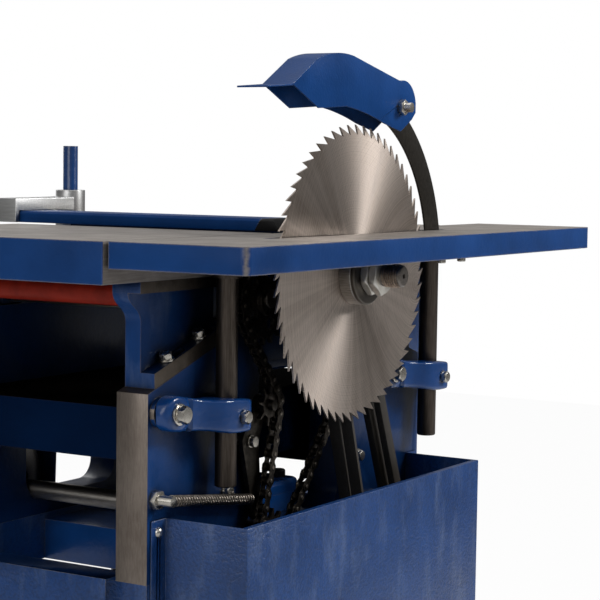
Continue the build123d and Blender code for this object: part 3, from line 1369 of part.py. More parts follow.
def saw_hood():
    """Folded sheet over the blade, open below, with a flat lip in front and a slot for the knife."""
    side = hood_side()
    x0, x1 = BLADE_X - HOOD_HALF, BLADE_X + HOOD_HALF
    front_y, front_z = HOOD_CROWN[0][0], BLADE_TOP + HOOD_CROWN[0][1]
    tail_y, tail_z = HOOD_TAIL[2][0], BLADE_TOP + HOOD_TAIL[2][1]
    y0, y1 = front_y + 2 * HOOD_WALL, tail_y - 2 * HOOD_WALL
    mouth = Polygon((y0, front_z - 1), (y1, tail_z), (y1, S), (y0, S), align=None)
    inner = offset(side, amount=-HOOD_WALL) + mouth
    body = slab_x(side, x0, x1) - slab_x(inner, x0 + HOOD_WALL, x1 - HOOD_WALL)
    tip_y, tip_z = front_y - HOOD_LIP, front_z - HOOD_LIP_FALL
    lip = [(y0, front_z), (front_y, front_z - HOOD_WALL), (tip_y, tip_z - HOOD_WALL), (tip_y, tip_z),
           (front_y, front_z)]
    body += plate_x(lip, x0, x1)
    half = HOOD_SLOT_HALF
    body -= block(BLADE_X - half, BLADE_X + half, HOOD_PIVOT_Y, tail_y + 1, S, HOOD_PIVOT[1] + HOOD_SLOT_TOP)
    return body - rod_x(x0 - 1, x1 + 1, *HOOD_PIVOT, BOLT_R + HOLE_GAP)


def hood_bolt():
    """Bolt through the hood's cheeks and the riving knife, with its nut and its end on the outside."""
    back, face = BLADE_X - HOOD_HALF, BLADE_X + HOOD_HALF
    shank = rod_x(back, face + HOOD_NUT_H + HOOD_BOLT_END, *HOOD_PIVOT, BOLT_R)
    nut = face_x(face, *HOOD_PIVOT) * hex_head(HOOD_NUT_AF, HOOD_NUT_H)
    return shank + nut + face_x(back, *HOOD_PIVOT, -1) * hex_head(HOOD_NUT_AF, HOOD_NUT_H)


# Planer tables
def planer_table(way):
    """Cast table with deep side rims and end apron; way is -1 for the infeed, 1 for the outfeed side."""
    lip, end = LIP_GAP, PLANER_END
    y0, y1 = sorted((way * lip, way * end))
    under = TOP_Z - PLANER_EDGE
    body = block(-PLANER_HALF, PLANER_HALF, y0, y1, under, TOP_Z)
    hollow_y = sorted((way * (lip + PLANER_LIP_W), way * (end - PLANER_APRON_T)))
    inside = PLANER_HALF - PLANER_RIM_W
    body -= block(-inside, inside, *hollow_y, under - 1, TOP_Z - PLANER_PLATE)
    for x in (-PLANER_RIB_X, PLANER_RIB_X):
        half = PLANER_RIB_T / 2
        body += block(x - half, x + half, *hollow_y, under, TOP_Z - PLANER_PLATE + 1)
    apron_y = sorted((way * end, way * (end - PLANER_APRON_T)))
    body += block(-PLANER_HALF, PLANER_HALF, *apron_y, TOP_Z - PLANER_APRON, under)
    rim_y = sorted((way * (CROWN_HALF + CROWN_GAP), way * end))
    for side in (-1, 1):
        rim_x = sorted((side * PLANER_HALF, side * inside))
        body += block(*rim_x, *rim_y, TOP_Z - PLANER_APRON, under)
    low = under - 1
    bevel = [(way * lip, low), (way * (lip + PLANER_BEVEL), low), (way * lip, TOP_Z - PLANER_LIP_T)]
    return body - plate_x(bevel, -PLANER_HALF - 1, PLANER_HALF + 1)


def table_bracket(way):
    """Cast C-shaped bracket: a web, a head under the table's rim and a slotted foot on the inclined way."""
    top = TOP_Z - PLANER_APRON
    y_in, y_out = CROWN_HALF + CROWN_GAP, BRACKET_END
    y_tip = y_out + BRACKET_FLARE
    foot_in, foot_out = way_z(y_in) + RUN_GAP, way_z(y_out) + RUN_GAP
    low, high = S - FLARE_LOW, S - FLARE_TOP
    middle = (low + high) / 2
    web = make_face(Curve() + [
        Line((way * y_in, foot_in), (way * y_out, foot_out)),
        Line((way * y_out, foot_out), (way * y_out, low)),
        Bezier((way * y_out, low), (way * y_out, middle), (way * y_tip, middle), (way * y_tip, high)),
        Line((way * y_tip, high), (way * y_tip, top)),
        Line((way * y_tip, top), (way * y_in, top)),
        Line((way * y_in, top), (way * y_in, foot_in))])
    body = slab_x(web, BRACKET_X, BRACKET_X + BRACKET_T)
    body += block(BRACKET_X, PLANER_HALF, *sorted((way * y_in, way * y_tip)), top - BRACKET_HEAD_T, top)
    t = BRACKET_FOOT_T
    foot = plate_x([(way * y_in, foot_in), (way * y_out, foot_out), (way * y_out, foot_out + t),
                    (way * y_in, foot_in + t)], BRACKET_X, OUT_X)
    width = 2 * (BOLT_R * SLOT_BOLT_SCALE + SLOT_GAP)
    for y in SLOT_BOLTS:
        slot = Pos(0, -way * SLOT_TRAVEL / 2) * Rot(0, 0, 90) * SlotOverall(SLOT_TRAVEL + width, width)
        plane = way_plane(way, y, -t)
        foot -= extrude(plane * slot, amount=3 * t, dir=plane.z_dir)
    return body + foot


def table_brackets(way):
    near = table_bracket(way)
    if way < 0:
        near -= infeed_tie_bar()
    return group(near, mirror(near, about=Plane.YZ))


def infeed_tie_bar():
    half = BRACKET_X + TIE_SOCKET
    return rod_x(-half, half, TIE_Y, S - TIE_DROP, TIE_R)


# Thickness table and lift
def thickness_table():
    """Table with side aprons that clear the gearbox when lowered, on a hollow column with its nut."""
    base = THICK_BASE
    body = block(-THICK_HALF_X, THICK_HALF_X, -THICK_HALF_Y, THICK_HALF_Y, base, S - THICK_DROP)
    foot = GEAR_Z + CAP_H + LIFT_DOWN + APRON_GAP
    ends = foot + APRON_SAG * (base - foot)
    apron_face = make_face(Curve() + [
        Line((-THICK_HALF_Y, base), (-THICK_HALF_Y, ends)),
        ThreePointArc((-THICK_HALF_Y, ends), (0, foot), (THICK_HALF_Y, ends)),
        Line((THICK_HALF_Y, ends), (THICK_HALF_Y, base)),
        Line((THICK_HALF_Y, base), (-THICK_HALF_Y, base))])
    for x in (-THICK_HALF_X, THICK_HALF_X - THICK_RIB):
        body += slab_x(apron_face, x, x + THICK_RIB)
    for y, apron_foot in ((-THICK_HALF_Y, ends), (THICK_HALF_Y - THICK_RIB, foot - REAR_APRON)):
        body += block(-THICK_HALF_X, THICK_HALF_X, y, y + THICK_RIB, apron_foot, base)
    column = rod_z(COLUMN_Z, base, 0, 0, COLUMN_R)
    column -= rod_z(COLUMN_Z + LIFT_NUT_H, base - COLUMN_CAP, 0, 0, LIFT_SCREW_R + LIFT_SCREW_GAP)
    column -= rod_z(COLUMN_Z - 1, COLUMN_Z + LIFT_NUT_H + 1, 0, 0, LIFT_SCREW_R + FIT)
    return body + column


def lift_housing():
    """Socket for the column, its cross beam on the stand rails and the closed bevel box below."""
    beam_z0, beam_z1 = STAND_H - RAIL_H, STAND_H - BEAM_DROP
    top = beam_z1 + SOCKET_RISE
    foot = LIFT_BOX_Z - LIFT_BOX_H
    body = block(-IN_X, IN_X, -BEAM_HALF, BEAM_HALF, beam_z0, beam_z1)
    inside = BEAM_HALF - BEAM_WALL
    body -= block(-IN_X - 1, IN_X + 1, -inside, inside, beam_z0 - 1, beam_z1 - BEAM_DECK)
    body += rod_z(foot, top, 0, 0, COLUMN_R + SOCKET_WALL)
    h = LIFT_BOX_HALF
    body += fillet(block(-h, h, -h, h, foot, LIFT_BOX_Z).edges().filter_by(Axis.Z), LIFT_BOX_CORNER)
    body -= rod_z(LIFT_BOX_Z, top + 1, 0, 0, COLUMN_R + FIT)
    body -= rod_z(screw_foot() - 1, LIFT_BOX_Z + 1, 0, 0, LIFT_SCREW_R + FIT)
    return body - rod_y(-h - 1, -h + WHEEL_SHAFT_IN + 2, 0, wheel_axis_z(), WHEEL_SHAFT_R + FIT)


def screw_foot():
    return wheel_axis_z() + WHEEL_SHAFT_R + LIFT_SCREW_GAP


def lift_screw():
    return rod_z(screw_foot(), THICK_BASE - COLUMN_CAP - LIFT_DOWN - COLUMN_GAP, 0, 0, LIFT_SCREW_R)


def wheel_axis_z():
    return LIFT_BOX_Z - LIFT_BOX_H / 2 - WHEEL_DROP


def handwheel():
    z = wheel_axis_z()
    rim = Pos(0, WHEEL_Y, z) * Rot(90, 0, 0) * Torus(WHEEL_R, WHEEL_RIM_R)
    body = rim + rod_y(WHEEL_Y - WHEEL_HUB_HALF, WHEEL_Y + WHEEL_HUB_HALF, 0, z, WHEEL_HUB_R)
    for k in range(SPOKES):
        turn = Pos(0, WHEEL_Y, z) * Rot(0, -360 * k / SPOKES - 90, 0)
        body += turn * Pos(WHEEL_R / 2, 0, 0) * Box(WHEEL_R, SPOKE_T, SPOKE_W)
    return body + rod_y(WHEEL_Y, -LIFT_BOX_HALF + WHEEL_SHAFT_IN, 0, z, WHEEL_SHAFT_R)


def handwheel_grip():
    z = wheel_axis_z() + WHEEL_R
    y = WHEEL_Y - WHEEL_RIM_R
    plane = Plane(origin=(0, y, z), x_dir=(0, -1, 0), z_dir=(1, 0, 0))
    profile = [(0, 0), (0, GRIP_R * 0.8), (GRIP_LEN * 0.3, GRIP_R * 1.1), (GRIP_LEN * 0.85, GRIP_R),
               (GRIP_LEN, GRIP_R * 0.5), (GRIP_LEN, 0)]
    body = revolve(plane * Polygon(*profile, align=None), axis=Axis((0, y, z), (0, -1, 0)))
    return body - Pos(0, WHEEL_Y, wheel_axis_z()) * Rot(90, 0, 0) * Torus(WHEEL_R, WHEEL_RIM_R)


# Bridge guard
def guard_sections():
    """Side outlines of the bar and of its end cap, as (X, Z) points that share a slanted joint."""
    z0, z1 = GUARD_Z, GUARD_Z + GUARD_H
    low = GUARD_END_X - GUARD_CAP
    high = low + GUARD_SLANT
    bar = [(GUARD_TAIL_X, z0), (low, z0), (high, z1), (GUARD_TAIL_X, z1)]
    cap = [(low, z0), (GUARD_END_X - GUARD_BEVEL, z0), (GUARD_END_X, z0 + GUARD_BEVEL),
           (GUARD_END_X - GUARD_SLANT, z1), (high, z1)]
    return bar, cap


def plate_y(points, half):
    """Extrude an outline of (X, Z) points to both sides of the middle plane."""
    sketch = Plane(origin=(0, half, 0), x_dir=(1, 0, 0), z_dir=(0, -1, 0)) * Polygon(*points, align=None)
    return extrude(sketch, amount=2 * half, dir=(0, -1, 0))


def guard_bar():
    body = plate_y(guard_sections()[0], GUARD_HALF)
    body = chamfer(body.edges().filter_by(Axis.X).group_by(Axis.Z)[-1], GUARD_BEVEL)
    hollow = GUARD_HALF - GUARD_WALL
    return body - block(GUARD_TAIL_X - 1, GUARD_END_X, -hollow, hollow, GUARD_Z - 1,
                        GUARD_Z + GUARD_H - GUARD_WALL - 1)


def guard_end_cap():
    body = plate_y(guard_sections()[1], GUARD_HALF)
    return chamfer(body.edges().filter_by(Axis.X).group_by(Axis.Z)[-1], GUARD_BEVEL)


def guard_screw_heights():
    foot = S - GUARD_POST_FOOT
    return foot + GUARD_SCREW_IN, foot + GUARD_FOOT_H - GUARD_SCREW_IN


def guard_post():
    x = -OUT_X - GUARD_POST_OUT
    z0 = S - GUARD_POST_FOOT
    half = GUARD_FOOT_HALF
    outer = x - half
    foot = block(outer, -OUT_X, GUARD_POST_Y - half, GUARD_POST_Y + half, z0, z0 + GUARD_FOOT_H)
    foot = fillet(foot.edges().filter_by(Axis.Z).group_by(Axis.X)[0], half * 0.5)
    body = foot + rod_z(z0 + half, S + GUARD_POST_TOP, x, GUARD_POST_Y, GUARD_POST_R)
    for z in guard_screw_heights():
        body -= rod_x(outer - 1, -OUT_X + 1, GUARD_POST_Y, z, GUARD_SCREW_R)
    return body


def guard_carrier():
    """Arm that slides up the guard post and carries the bar in a close channel."""
    x = -OUT_X - GUARD_POST_OUT
    x0, x1 = x - GUARD_ARM_HALF, x + GUARD_ARM_HALF
    z0 = GUARD_Z + GUARD_H + RUN_GAP
    span = (z0 - GUARD_BOSS_DOWN, z0 + GUARD_BOSS_UP)
    boss = rod_z(*span, x, GUARD_POST_Y, GUARD_POST_R + GUARD_BOSS_WALL)
    reach = GUARD_HALF + GUARD_LIP
    arm = block(x0, x1, -reach, GUARD_POST_Y, z0, z0 + GUARD_ARM_T)
    lips = []
    for side in (-1, 1):
        y0, y1 = sorted((side * (GUARD_HALF + RUN_GAP), side * reach))
        lips.append(block(x0, x1, y0, y1, GUARD_Z, z0))
    body = boss.fuse(arm, *lips)
    return body - rod_z(span[0] - 1, span[1] + 1, x, GUARD_POST_Y, GUARD_POST_R + FIT)


NODES = {
    "stand_frame": stand_frame,
    "motor_shelf": motor_shelf,
    "motor_housing": motor_housing,
    "motor_fan_cover": motor_fan_cover,
    "motor_terminal_box": motor_terminal_box,
    "saw_side_frame": lambda: side_frame(True),
    "far_side_frame": lambda: side_frame(False),
    "lift_housing": lift_housing,
    "bearing_housings": bearing_housings,
    "spindle_bearings": spindle_bearings,
    "roller_blocks": roller_blocks,
    "post_clamps": post_clamps,
    "post_lock_screws": post_lock_screws,
    "frame_bolts": frame_bolts,
    "slot_bolts": slot_bolts,
    "spring_stud": spring_stud,
    "tensioner_spring": tensioner_spring,
    "lever_pivot_bolt": lever_pivot_bolt,
    "gearbox_housing": gearbox_housing,
    "gearbox_cap": gearbox_cap,
    "feed_chain": feed_chain,
    "v_belts": v_belts,
    "belt_box": belt_box,
    "belt_box_screws": belt_box_screws,
    "far_belt_cover": far_belt_cover,
    "guard_post": guard_post,
    "cutter_block": cutter_block,
    "cutter_knives": cutter_knives,
    "knife_wedges": knife_wedges,
    "spindle_pulleys": spindle_pulleys,
    "blade_flanges": blade_flanges,
    "saw_blade": saw_blade,
    "spindle_nuts": spindle_nuts,
    "motor_pulley": motor_pulley,
    "infeed_roller": lambda: feed_roller(-FEED_Y, FEED_FLUTES),
    "outfeed_roller": lambda: feed_roller(FEED_Y, 0),
    "outfeed_sprocket": lambda: roller_sprocket(1),
    "infeed_sprocket": lambda: roller_sprocket(2),
    "drive_sprocket": drive_sprocket,
    "idler_sprocket": idler_sprocket,
    "feed_input_pulley": feed_input_pulley,
    "tension_lever": tension_lever,
    "saw_table": saw_table,
    "table_posts": table_posts,
    "riving_knife": riving_knife,
    "knife_bracket": knife_bracket,
    "saw_hood": saw_hood,
    "hood_bolt": hood_bolt,
    "infeed_table": lambda: planer_table(-1),
    "infeed_brackets": lambda: table_brackets(-1),
    "infeed_tie_bar": infeed_tie_bar,
    "outfeed_table": lambda: planer_table(1),
    "outfeed_brackets": lambda: table_brackets(1),
    "thickness_table": thickness_table,
    "lift_screw": lift_screw,
    "handwheel": handwheel,
    "handwheel_grip": handwheel_grip,
    "guard_carrier": guard_carrier,
    "guard_bar": guard_bar,
    "guard_end_cap": guard_end_cap,
}

os.makedirs("parts", exist_ok=True)
for name, make in NODES.items():
    export_step(make(), f"parts/{name}.step")
print(len(NODES), "nodes written")
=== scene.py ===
# %% [markdown]
# # A combination woodworking machine
# One spindle turns a planer block between two cast side frames and a circular saw outside them.
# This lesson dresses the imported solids: it loads them as a fixed frame, gives each a finish that
# starts from the real material, and builds the few pieces that need more than a plain solid.

# %% Load the frame
from math import cos, pi, radians, sin, sqrt, tan

import bmesh
import bpy
from mathutils import Matrix, Vector


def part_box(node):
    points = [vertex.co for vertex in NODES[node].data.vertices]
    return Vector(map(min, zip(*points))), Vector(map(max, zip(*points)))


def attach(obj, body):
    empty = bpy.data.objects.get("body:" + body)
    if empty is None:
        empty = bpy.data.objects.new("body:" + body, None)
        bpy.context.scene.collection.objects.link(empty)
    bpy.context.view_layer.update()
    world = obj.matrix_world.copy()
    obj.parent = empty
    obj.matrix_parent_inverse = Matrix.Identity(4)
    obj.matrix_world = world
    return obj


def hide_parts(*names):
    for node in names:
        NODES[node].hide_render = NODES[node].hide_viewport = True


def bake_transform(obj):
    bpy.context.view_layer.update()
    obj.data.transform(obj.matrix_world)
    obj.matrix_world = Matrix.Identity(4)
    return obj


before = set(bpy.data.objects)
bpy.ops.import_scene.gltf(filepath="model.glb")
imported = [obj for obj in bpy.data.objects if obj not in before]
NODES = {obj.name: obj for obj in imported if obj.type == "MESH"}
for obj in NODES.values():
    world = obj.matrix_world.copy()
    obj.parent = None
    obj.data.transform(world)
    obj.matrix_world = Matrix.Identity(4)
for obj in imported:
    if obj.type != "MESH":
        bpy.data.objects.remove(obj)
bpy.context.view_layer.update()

MM = 0.001

# %% [markdown]
# ## Helpers for finishes
# Colours are given as sRGB hex values, so one function turns them to the linear values that
# Blender mixes. A finish could be drawn in the Shader Editor, but a script can repeat it exactly: one
# small function adds a node with its settings and links, and another makes a pattern whose lumps have
# a real size in millimetres. That keeps each finish short enough to read.

# %% Colour and node helpers
# A Mix node has its own sockets for each kind of value
NUMBER_A, NUMBER_B = 2, 3
VECTOR_A, VECTOR_B, VECTOR_OUT = 4, 5, 1
COLOUR_A, COLOUR_B, COLOUR_OUT = 6, 7, 2
LUMP_ROUGHNESS = 0.6


def linear(code):
    """sRGB hex, such as #1F4173, to linear RGBA."""
    values = [int(code[i:i + 2], 16) / 255 for i in (1, 3, 5)]
    return tuple(v / 12.92 if v <= 0.04045 else ((v + 0.055) / 1.055) ** 2.4 for v in values) + (1.0,)


def grey(value):
    """A mask or a roughness as the colour that a ramp holds."""
    return (value, value, value, 1.0)


def fill(tree, node, ins):
    """Set or link a node's inputs by name or number; a node as a value stands for its first output."""
    for key, value in ins.items():
        if isinstance(value, bpy.types.Node):
            value = value.outputs[0]
        if isinstance(value, bpy.types.NodeSocket):
            tree.links.new(value, node.inputs[key])
        else:
            node.inputs[key].default_value = value


def add(tree, kind, ins=None, stops=(), **settings):
    """Add a node, set its properties, fill its inputs and place the stops of its ramp."""
    made = tree.nodes.new(kind)
    for key, value in settings.items():
        setattr(made, key, value)
    fill(tree, made, ins or {})
    for number, (place, colour) in enumerate(stops):
        made.color_ramp.elements[number].position = place
        made.color_ramp.elements[number].color = colour
    return made


def mottle(tree, size_mm, detail=4.0, stretch=(1, 1, 1)):
    """A pattern of lumps about size_mm across, drawn out where stretch is below 1."""
    place = add(tree, "ShaderNodeTexCoord").outputs["Object"]
    spread = add(tree, "ShaderNodeMapping", {"Vector": place, "Scale": stretch})
    return add(tree, "ShaderNodeTexNoise", {"Vector": spread, "Scale": 1 / (size_mm * MM), "Detail": detail,
                                            "Roughness": LUMP_ROUGHNESS})


def new_finish(name):
    """An empty material with a surface shader on its output: (material, tree, shader)."""
    material = bpy.data.materials.new(name)
    material.use_nodes = True
    tree = material.node_tree
    tree.nodes.clear()
    shader = add(tree, "ShaderNodeBsdfPrincipled")
    add(tree, "ShaderNodeOutputMaterial", {"Surface": shader})
    return material, tree, shader


print("helpers ready")

# %% [markdown]
# ## Blue machine enamel
# The castings and sheets wear a thick alkyd enamel, sprayed and left to flow. It gives a deep blue
# with a soft gloss, a fine orange peel whose pits hold dust that is also a painted speckled sheen, pale
# streaks of wiped dust that are also a painted whitish sheen, painted shade in the hollows and bright
# chips on the edges. Such marks could be painted by hand, but masks taken from the shape fit every
# casting: the peel is a noise of a few millimetres, the painted shade in the hollows comes from the
# Ambient Occlusion node, and chips from the Bevel node, which finds real edges.

# %% Enamel
BLUE = "#11478A"
BLUE_DEEP = "#0D386F"
# Dark blue used as painted shade in hollows and on shaded castings, and as dust in the peel's pits
BLUE_SHADE_AND_DUST = "#0A1529"
# Pale streaks of wiped dust, also painted as a whitish sheen on the enamel
PALE_DUST_AND_SHEEN = "#7B8DAE"
CHIP = "#A8A39B"
CHIP_SHINE = 0.7
CHIP_REACH_MM = 2.2
CHIP_LUMP_MM = 9
CLOUD_MM = 120
# How far the painted shade in hollows reaches
HOLLOW_SHADE_MM = 45
SMEAR_MM = 30
SWELL_MM = 24
SWELL_TALL_MM = 1.5


def edge_wear(tree, reach_mm, amount):
    """A mask that is 1 on worn edges: where the rounded normal leaves the true one, broken by noise."""
    rounded = add(tree, "ShaderNodeBevel", {"Radius": reach_mm * MM}, samples=4)
    normal = add(tree, "ShaderNodeNewGeometry").outputs["Normal"]
    same = add(tree, "ShaderNodeVectorMath", {0: rounded, 1: normal}, operation="DOT_PRODUCT")
    edge = add(tree, "ShaderNodeMath", {0: 1.0, 1: same.outputs["Value"]}, operation="SUBTRACT")
    broken = add(tree, "ShaderNodeMath", {0: edge, 1: mottle(tree, CHIP_LUMP_MM, 6.0)},
                 operation="MULTIPLY")
    return add(tree, "ShaderNodeValToRGB", {"Fac": broken},
               [(0.05 / amount, grey(0)), (0.07 / amount, grey(1))])


def blue_coat(tree, peel_mm, peel, swell, gloss=(0.28, 0.42), pits=0.0, rubbed=0.0):
    """(colour, roughness, bump) of enamel with an orange peel over the slow swells of what it covers.

    pits is how dark the peel's pits are, with dust that is also a painted speckled sheen, and
    rubbed how much pale colour is streaked down its faces, wiped dust that is also a painted
    whitish sheen. Its hollows are darkened as painted shade."""
    cloud = mottle(tree, CLOUD_MM)
    colour = add(tree, "ShaderNodeValToRGB", {"Fac": cloud},
                 [(0.3, linear(BLUE_DEEP)), (0.7, linear(BLUE))])
    rough = add(tree, "ShaderNodeValToRGB", {"Fac": cloud},
                [(0.3, grey(gloss[0])), (0.75, grey(gloss[1]))])
    # Painted shade: an Ambient Occlusion mask mixes the enamel towards dark blue in corners and hollows
    air = add(tree, "ShaderNodeAmbientOcclusion", {"Distance": HOLLOW_SHADE_MM * MM}, samples=4).outputs["AO"]
    depth = add(tree, "ShaderNodeValToRGB", {"Fac": air}, [(0.2, grey(1)), (0.8, grey(0))])
    lumps = mottle(tree, peel_mm, 2.0)
    # Dust in the peel's pits, darkened also as a painted speckled sheen on the orange peel
    pit_dust_and_sheen = add(tree, "ShaderNodeValToRGB", {"Fac": lumps}, [(0.36, grey(pits)), (0.54, grey(0))])
    # Pale streaks drawn down the faces: wiped dust and a painted whitish sheen
    dust_and_sheen_streaks = add(tree, "ShaderNodeValToRGB", {"Fac": mottle(tree, SMEAR_MM, 5.0, (1, 1, 0.3))},
                [(0.5, grey(0)), (0.8, grey(rubbed))])
    for share, over in ((dust_and_sheen_streaks, PALE_DUST_AND_SHEEN), (pit_dust_and_sheen, BLUE_SHADE_AND_DUST), (depth, BLUE_SHADE_AND_DUST)):
        colour = add(tree, "ShaderNodeMix", {"Factor": share, COLOUR_A: colour, COLOUR_B: linear(over)},
                     data_type="RGBA").outputs[COLOUR_OUT]
    slow = add(tree, "ShaderNodeBump", {"Height": mottle(tree, SWELL_MM, 2.0), "Strength": swell,
                                        "Distance": SWELL_TALL_MM * MM})
    skin = add(tree, "ShaderNodeBump", {"Height": lumps, "Strength": peel, "Distance": MM, "Normal": slow})
    return colour, rough, skin


def enamel(name, chips, sheen, **coat):
    """Blue enamel worn through on the edges."""
    material, tree, shader = new_finish(name)
    colour, rough, bump = blue_coat(tree, **coat)
    worn = edge_wear(tree, CHIP_REACH_MM, chips)
    mixed = add(tree, "ShaderNodeMix", {"Factor": worn, COLOUR_A: colour, COLOUR_B: linear(CHIP)},
                data_type="RGBA").outputs[COLOUR_OUT]
    metal = add(tree, "ShaderNodeMath", {0: worn, 1: CHIP_SHINE}, operation="MULTIPLY")
    fill(tree, shader, {"Base Color": mixed, "Roughness": rough, "Normal": bump, "Metallic": metal,
                        "Specular IOR Level": sheen})
    return material


CAST_ENAMEL = enamel("blue_enamel_on_castings", chips=0.8, sheen=0.6, peel_mm=5.0, peel=0.22, swell=0.35,
                     gloss=(0.16, 0.28))
# The sheets carry dust in the peel's pits and pale wiped streaks, both also painted as sheen
SHEET_ENAMEL = enamel("blue_enamel_on_sheet", chips=0.4, sheen=0.55, peel_mm=3.6, peel=0.8, swell=0.1,
                      pits=0.3, rubbed=0.45)
HOOD_ENAMEL = enamel("blue_enamel_on_guards", chips=0.35, sheen=0.1, peel_mm=3.2, peel=0.3, swell=0.08)
print("enamels:", CAST_ENAMEL.name, SHEET_ENAMEL.name, HOOD_ENAMEL.name)

# %% [markdown]
# ## Where a casting is bare
# Machining takes the skin off a casting only where it has to fit, so enamel and bare iron meet on one
# solid. Each face could be given its own material, but the solids keep their meshes. A mask does it
# instead: it finds faces that point the right way in the right place, and one more finds the corner
# of the saw table that passing boards have rubbed bare.

# %% Bare faces and corner
FACING = 0.8
CORNER_REACH_MM = 7
CORNER_LUMP_MM = 7


def marked_faces(tree, faces):
    """1 on chosen faces: each is (axis it faces, sign or 0 for any, axis of its place, middle, reach)."""
    normal = add(tree, "ShaderNodeNewGeometry").outputs["True Normal"]
    place = add(tree, "ShaderNodeTexCoord").outputs["Object"]
    facing = add(tree, "ShaderNodeSeparateXYZ", {0: normal}).outputs
    where = add(tree, "ShaderNodeSeparateXYZ", {0: place}).outputs
    total = None
    for axis, sign, along, middle, reach in faces:
        found = add(tree, "ShaderNodeMath", {0: where[along], 1: middle, 2: reach}, operation="COMPARE")
        if sign:
            turned = add(tree, "ShaderNodeMath", {0: facing[axis], 1: float(sign)}, operation="MULTIPLY")
            square = add(tree, "ShaderNodeMath", {0: turned, 1: FACING}, operation="GREATER_THAN")
            found = add(tree, "ShaderNodeMath", {0: found, 1: square}, operation="MULTIPLY")
        if total:
            found = add(tree, "ShaderNodeMath", {0: total, 1: found}, operation="MAXIMUM")
        total = found
    return total


def worn_corner(tree, corner):
    """1 near an upright corner at (x, y), broken by noise."""
    place = add(tree, "ShaderNodeTexCoord").outputs["Object"]
    flat = add(tree, "ShaderNodeVectorMath", {0: place, 1: (1, 1, 0)}, operation="MULTIPLY")
    away = add(tree, "ShaderNodeVectorMath", {0: flat, 1: (*corner, 0)}, operation="DISTANCE")
    near = add(tree, "ShaderNodeMapRange", {"Value": away.outputs["Value"], "From Min": 0.0,
                                            "From Max": CORNER_REACH_MM * MM, "To Min": 1.0, "To Max": 0.0})
    broken = add(tree, "ShaderNodeMath", {0: near, 1: mottle(tree, CORNER_LUMP_MM, 6.0)},
                 operation="MULTIPLY")
    return add(tree, "ShaderNodeValToRGB", {"Fac": broken}, [(0.2, grey(0)), (0.5, grey(0.8))])


print("faces count as square above", FACING, "and a corner wears", CORNER_REACH_MM, "mm round")

# %% [markdown]
# ## Ground and machined iron
# Table tops are ground flat, and the frames and brackets are milled where they meet. All are bare
# grey iron with straight tool marks, browned by handling. The marks could be cut as grooves, but as
# noise stretched along the tool's path they cost no faces. One finish serves a whole casting: iron
# where the mask says so and enamel elsewhere, both with painted shade darkening the deep hollows.

# %% Part-bare castings
# Real tool marks are finer than this, too fine to show in the render
TOOL_MARK_MM = 1.6
STAIN_MM = 55
# How far the painted shade in deep hollows reaches
DEEP_SHADE_MM = 250
IRON_CHIP_MM = 2.5
IRON_COAT = {"peel_mm": 5.0, "peel": 0.22, "swell": 0.3}


def bare_iron(tree, stretch, light, dark):
    """(colour, roughness, bump) of tool-marked iron; stretch is below 1 along the tool's path."""
    marks = mottle(tree, TOOL_MARK_MM, 5.0, stretch)
    both = add(tree, "ShaderNodeMath", {0: marks, 1: mottle(tree, STAIN_MM, 5.0)}, operation="ADD")
    half = add(tree, "ShaderNodeMath", {0: both, 1: 0.5}, operation="MULTIPLY")
    colour = add(tree, "ShaderNodeValToRGB", {"Fac": half},
                 [(0.35, linear(dark)), (0.65, linear(light))])
    rough = add(tree, "ShaderNodeValToRGB", {"Fac": half}, [(0.3, grey(0.52)), (0.7, grey(0.38))])
    bump = add(tree, "ShaderNodeBump", {"Height": marks, "Strength": 0.12, "Distance": 0.4 * MM})
    return colour, rough, bump


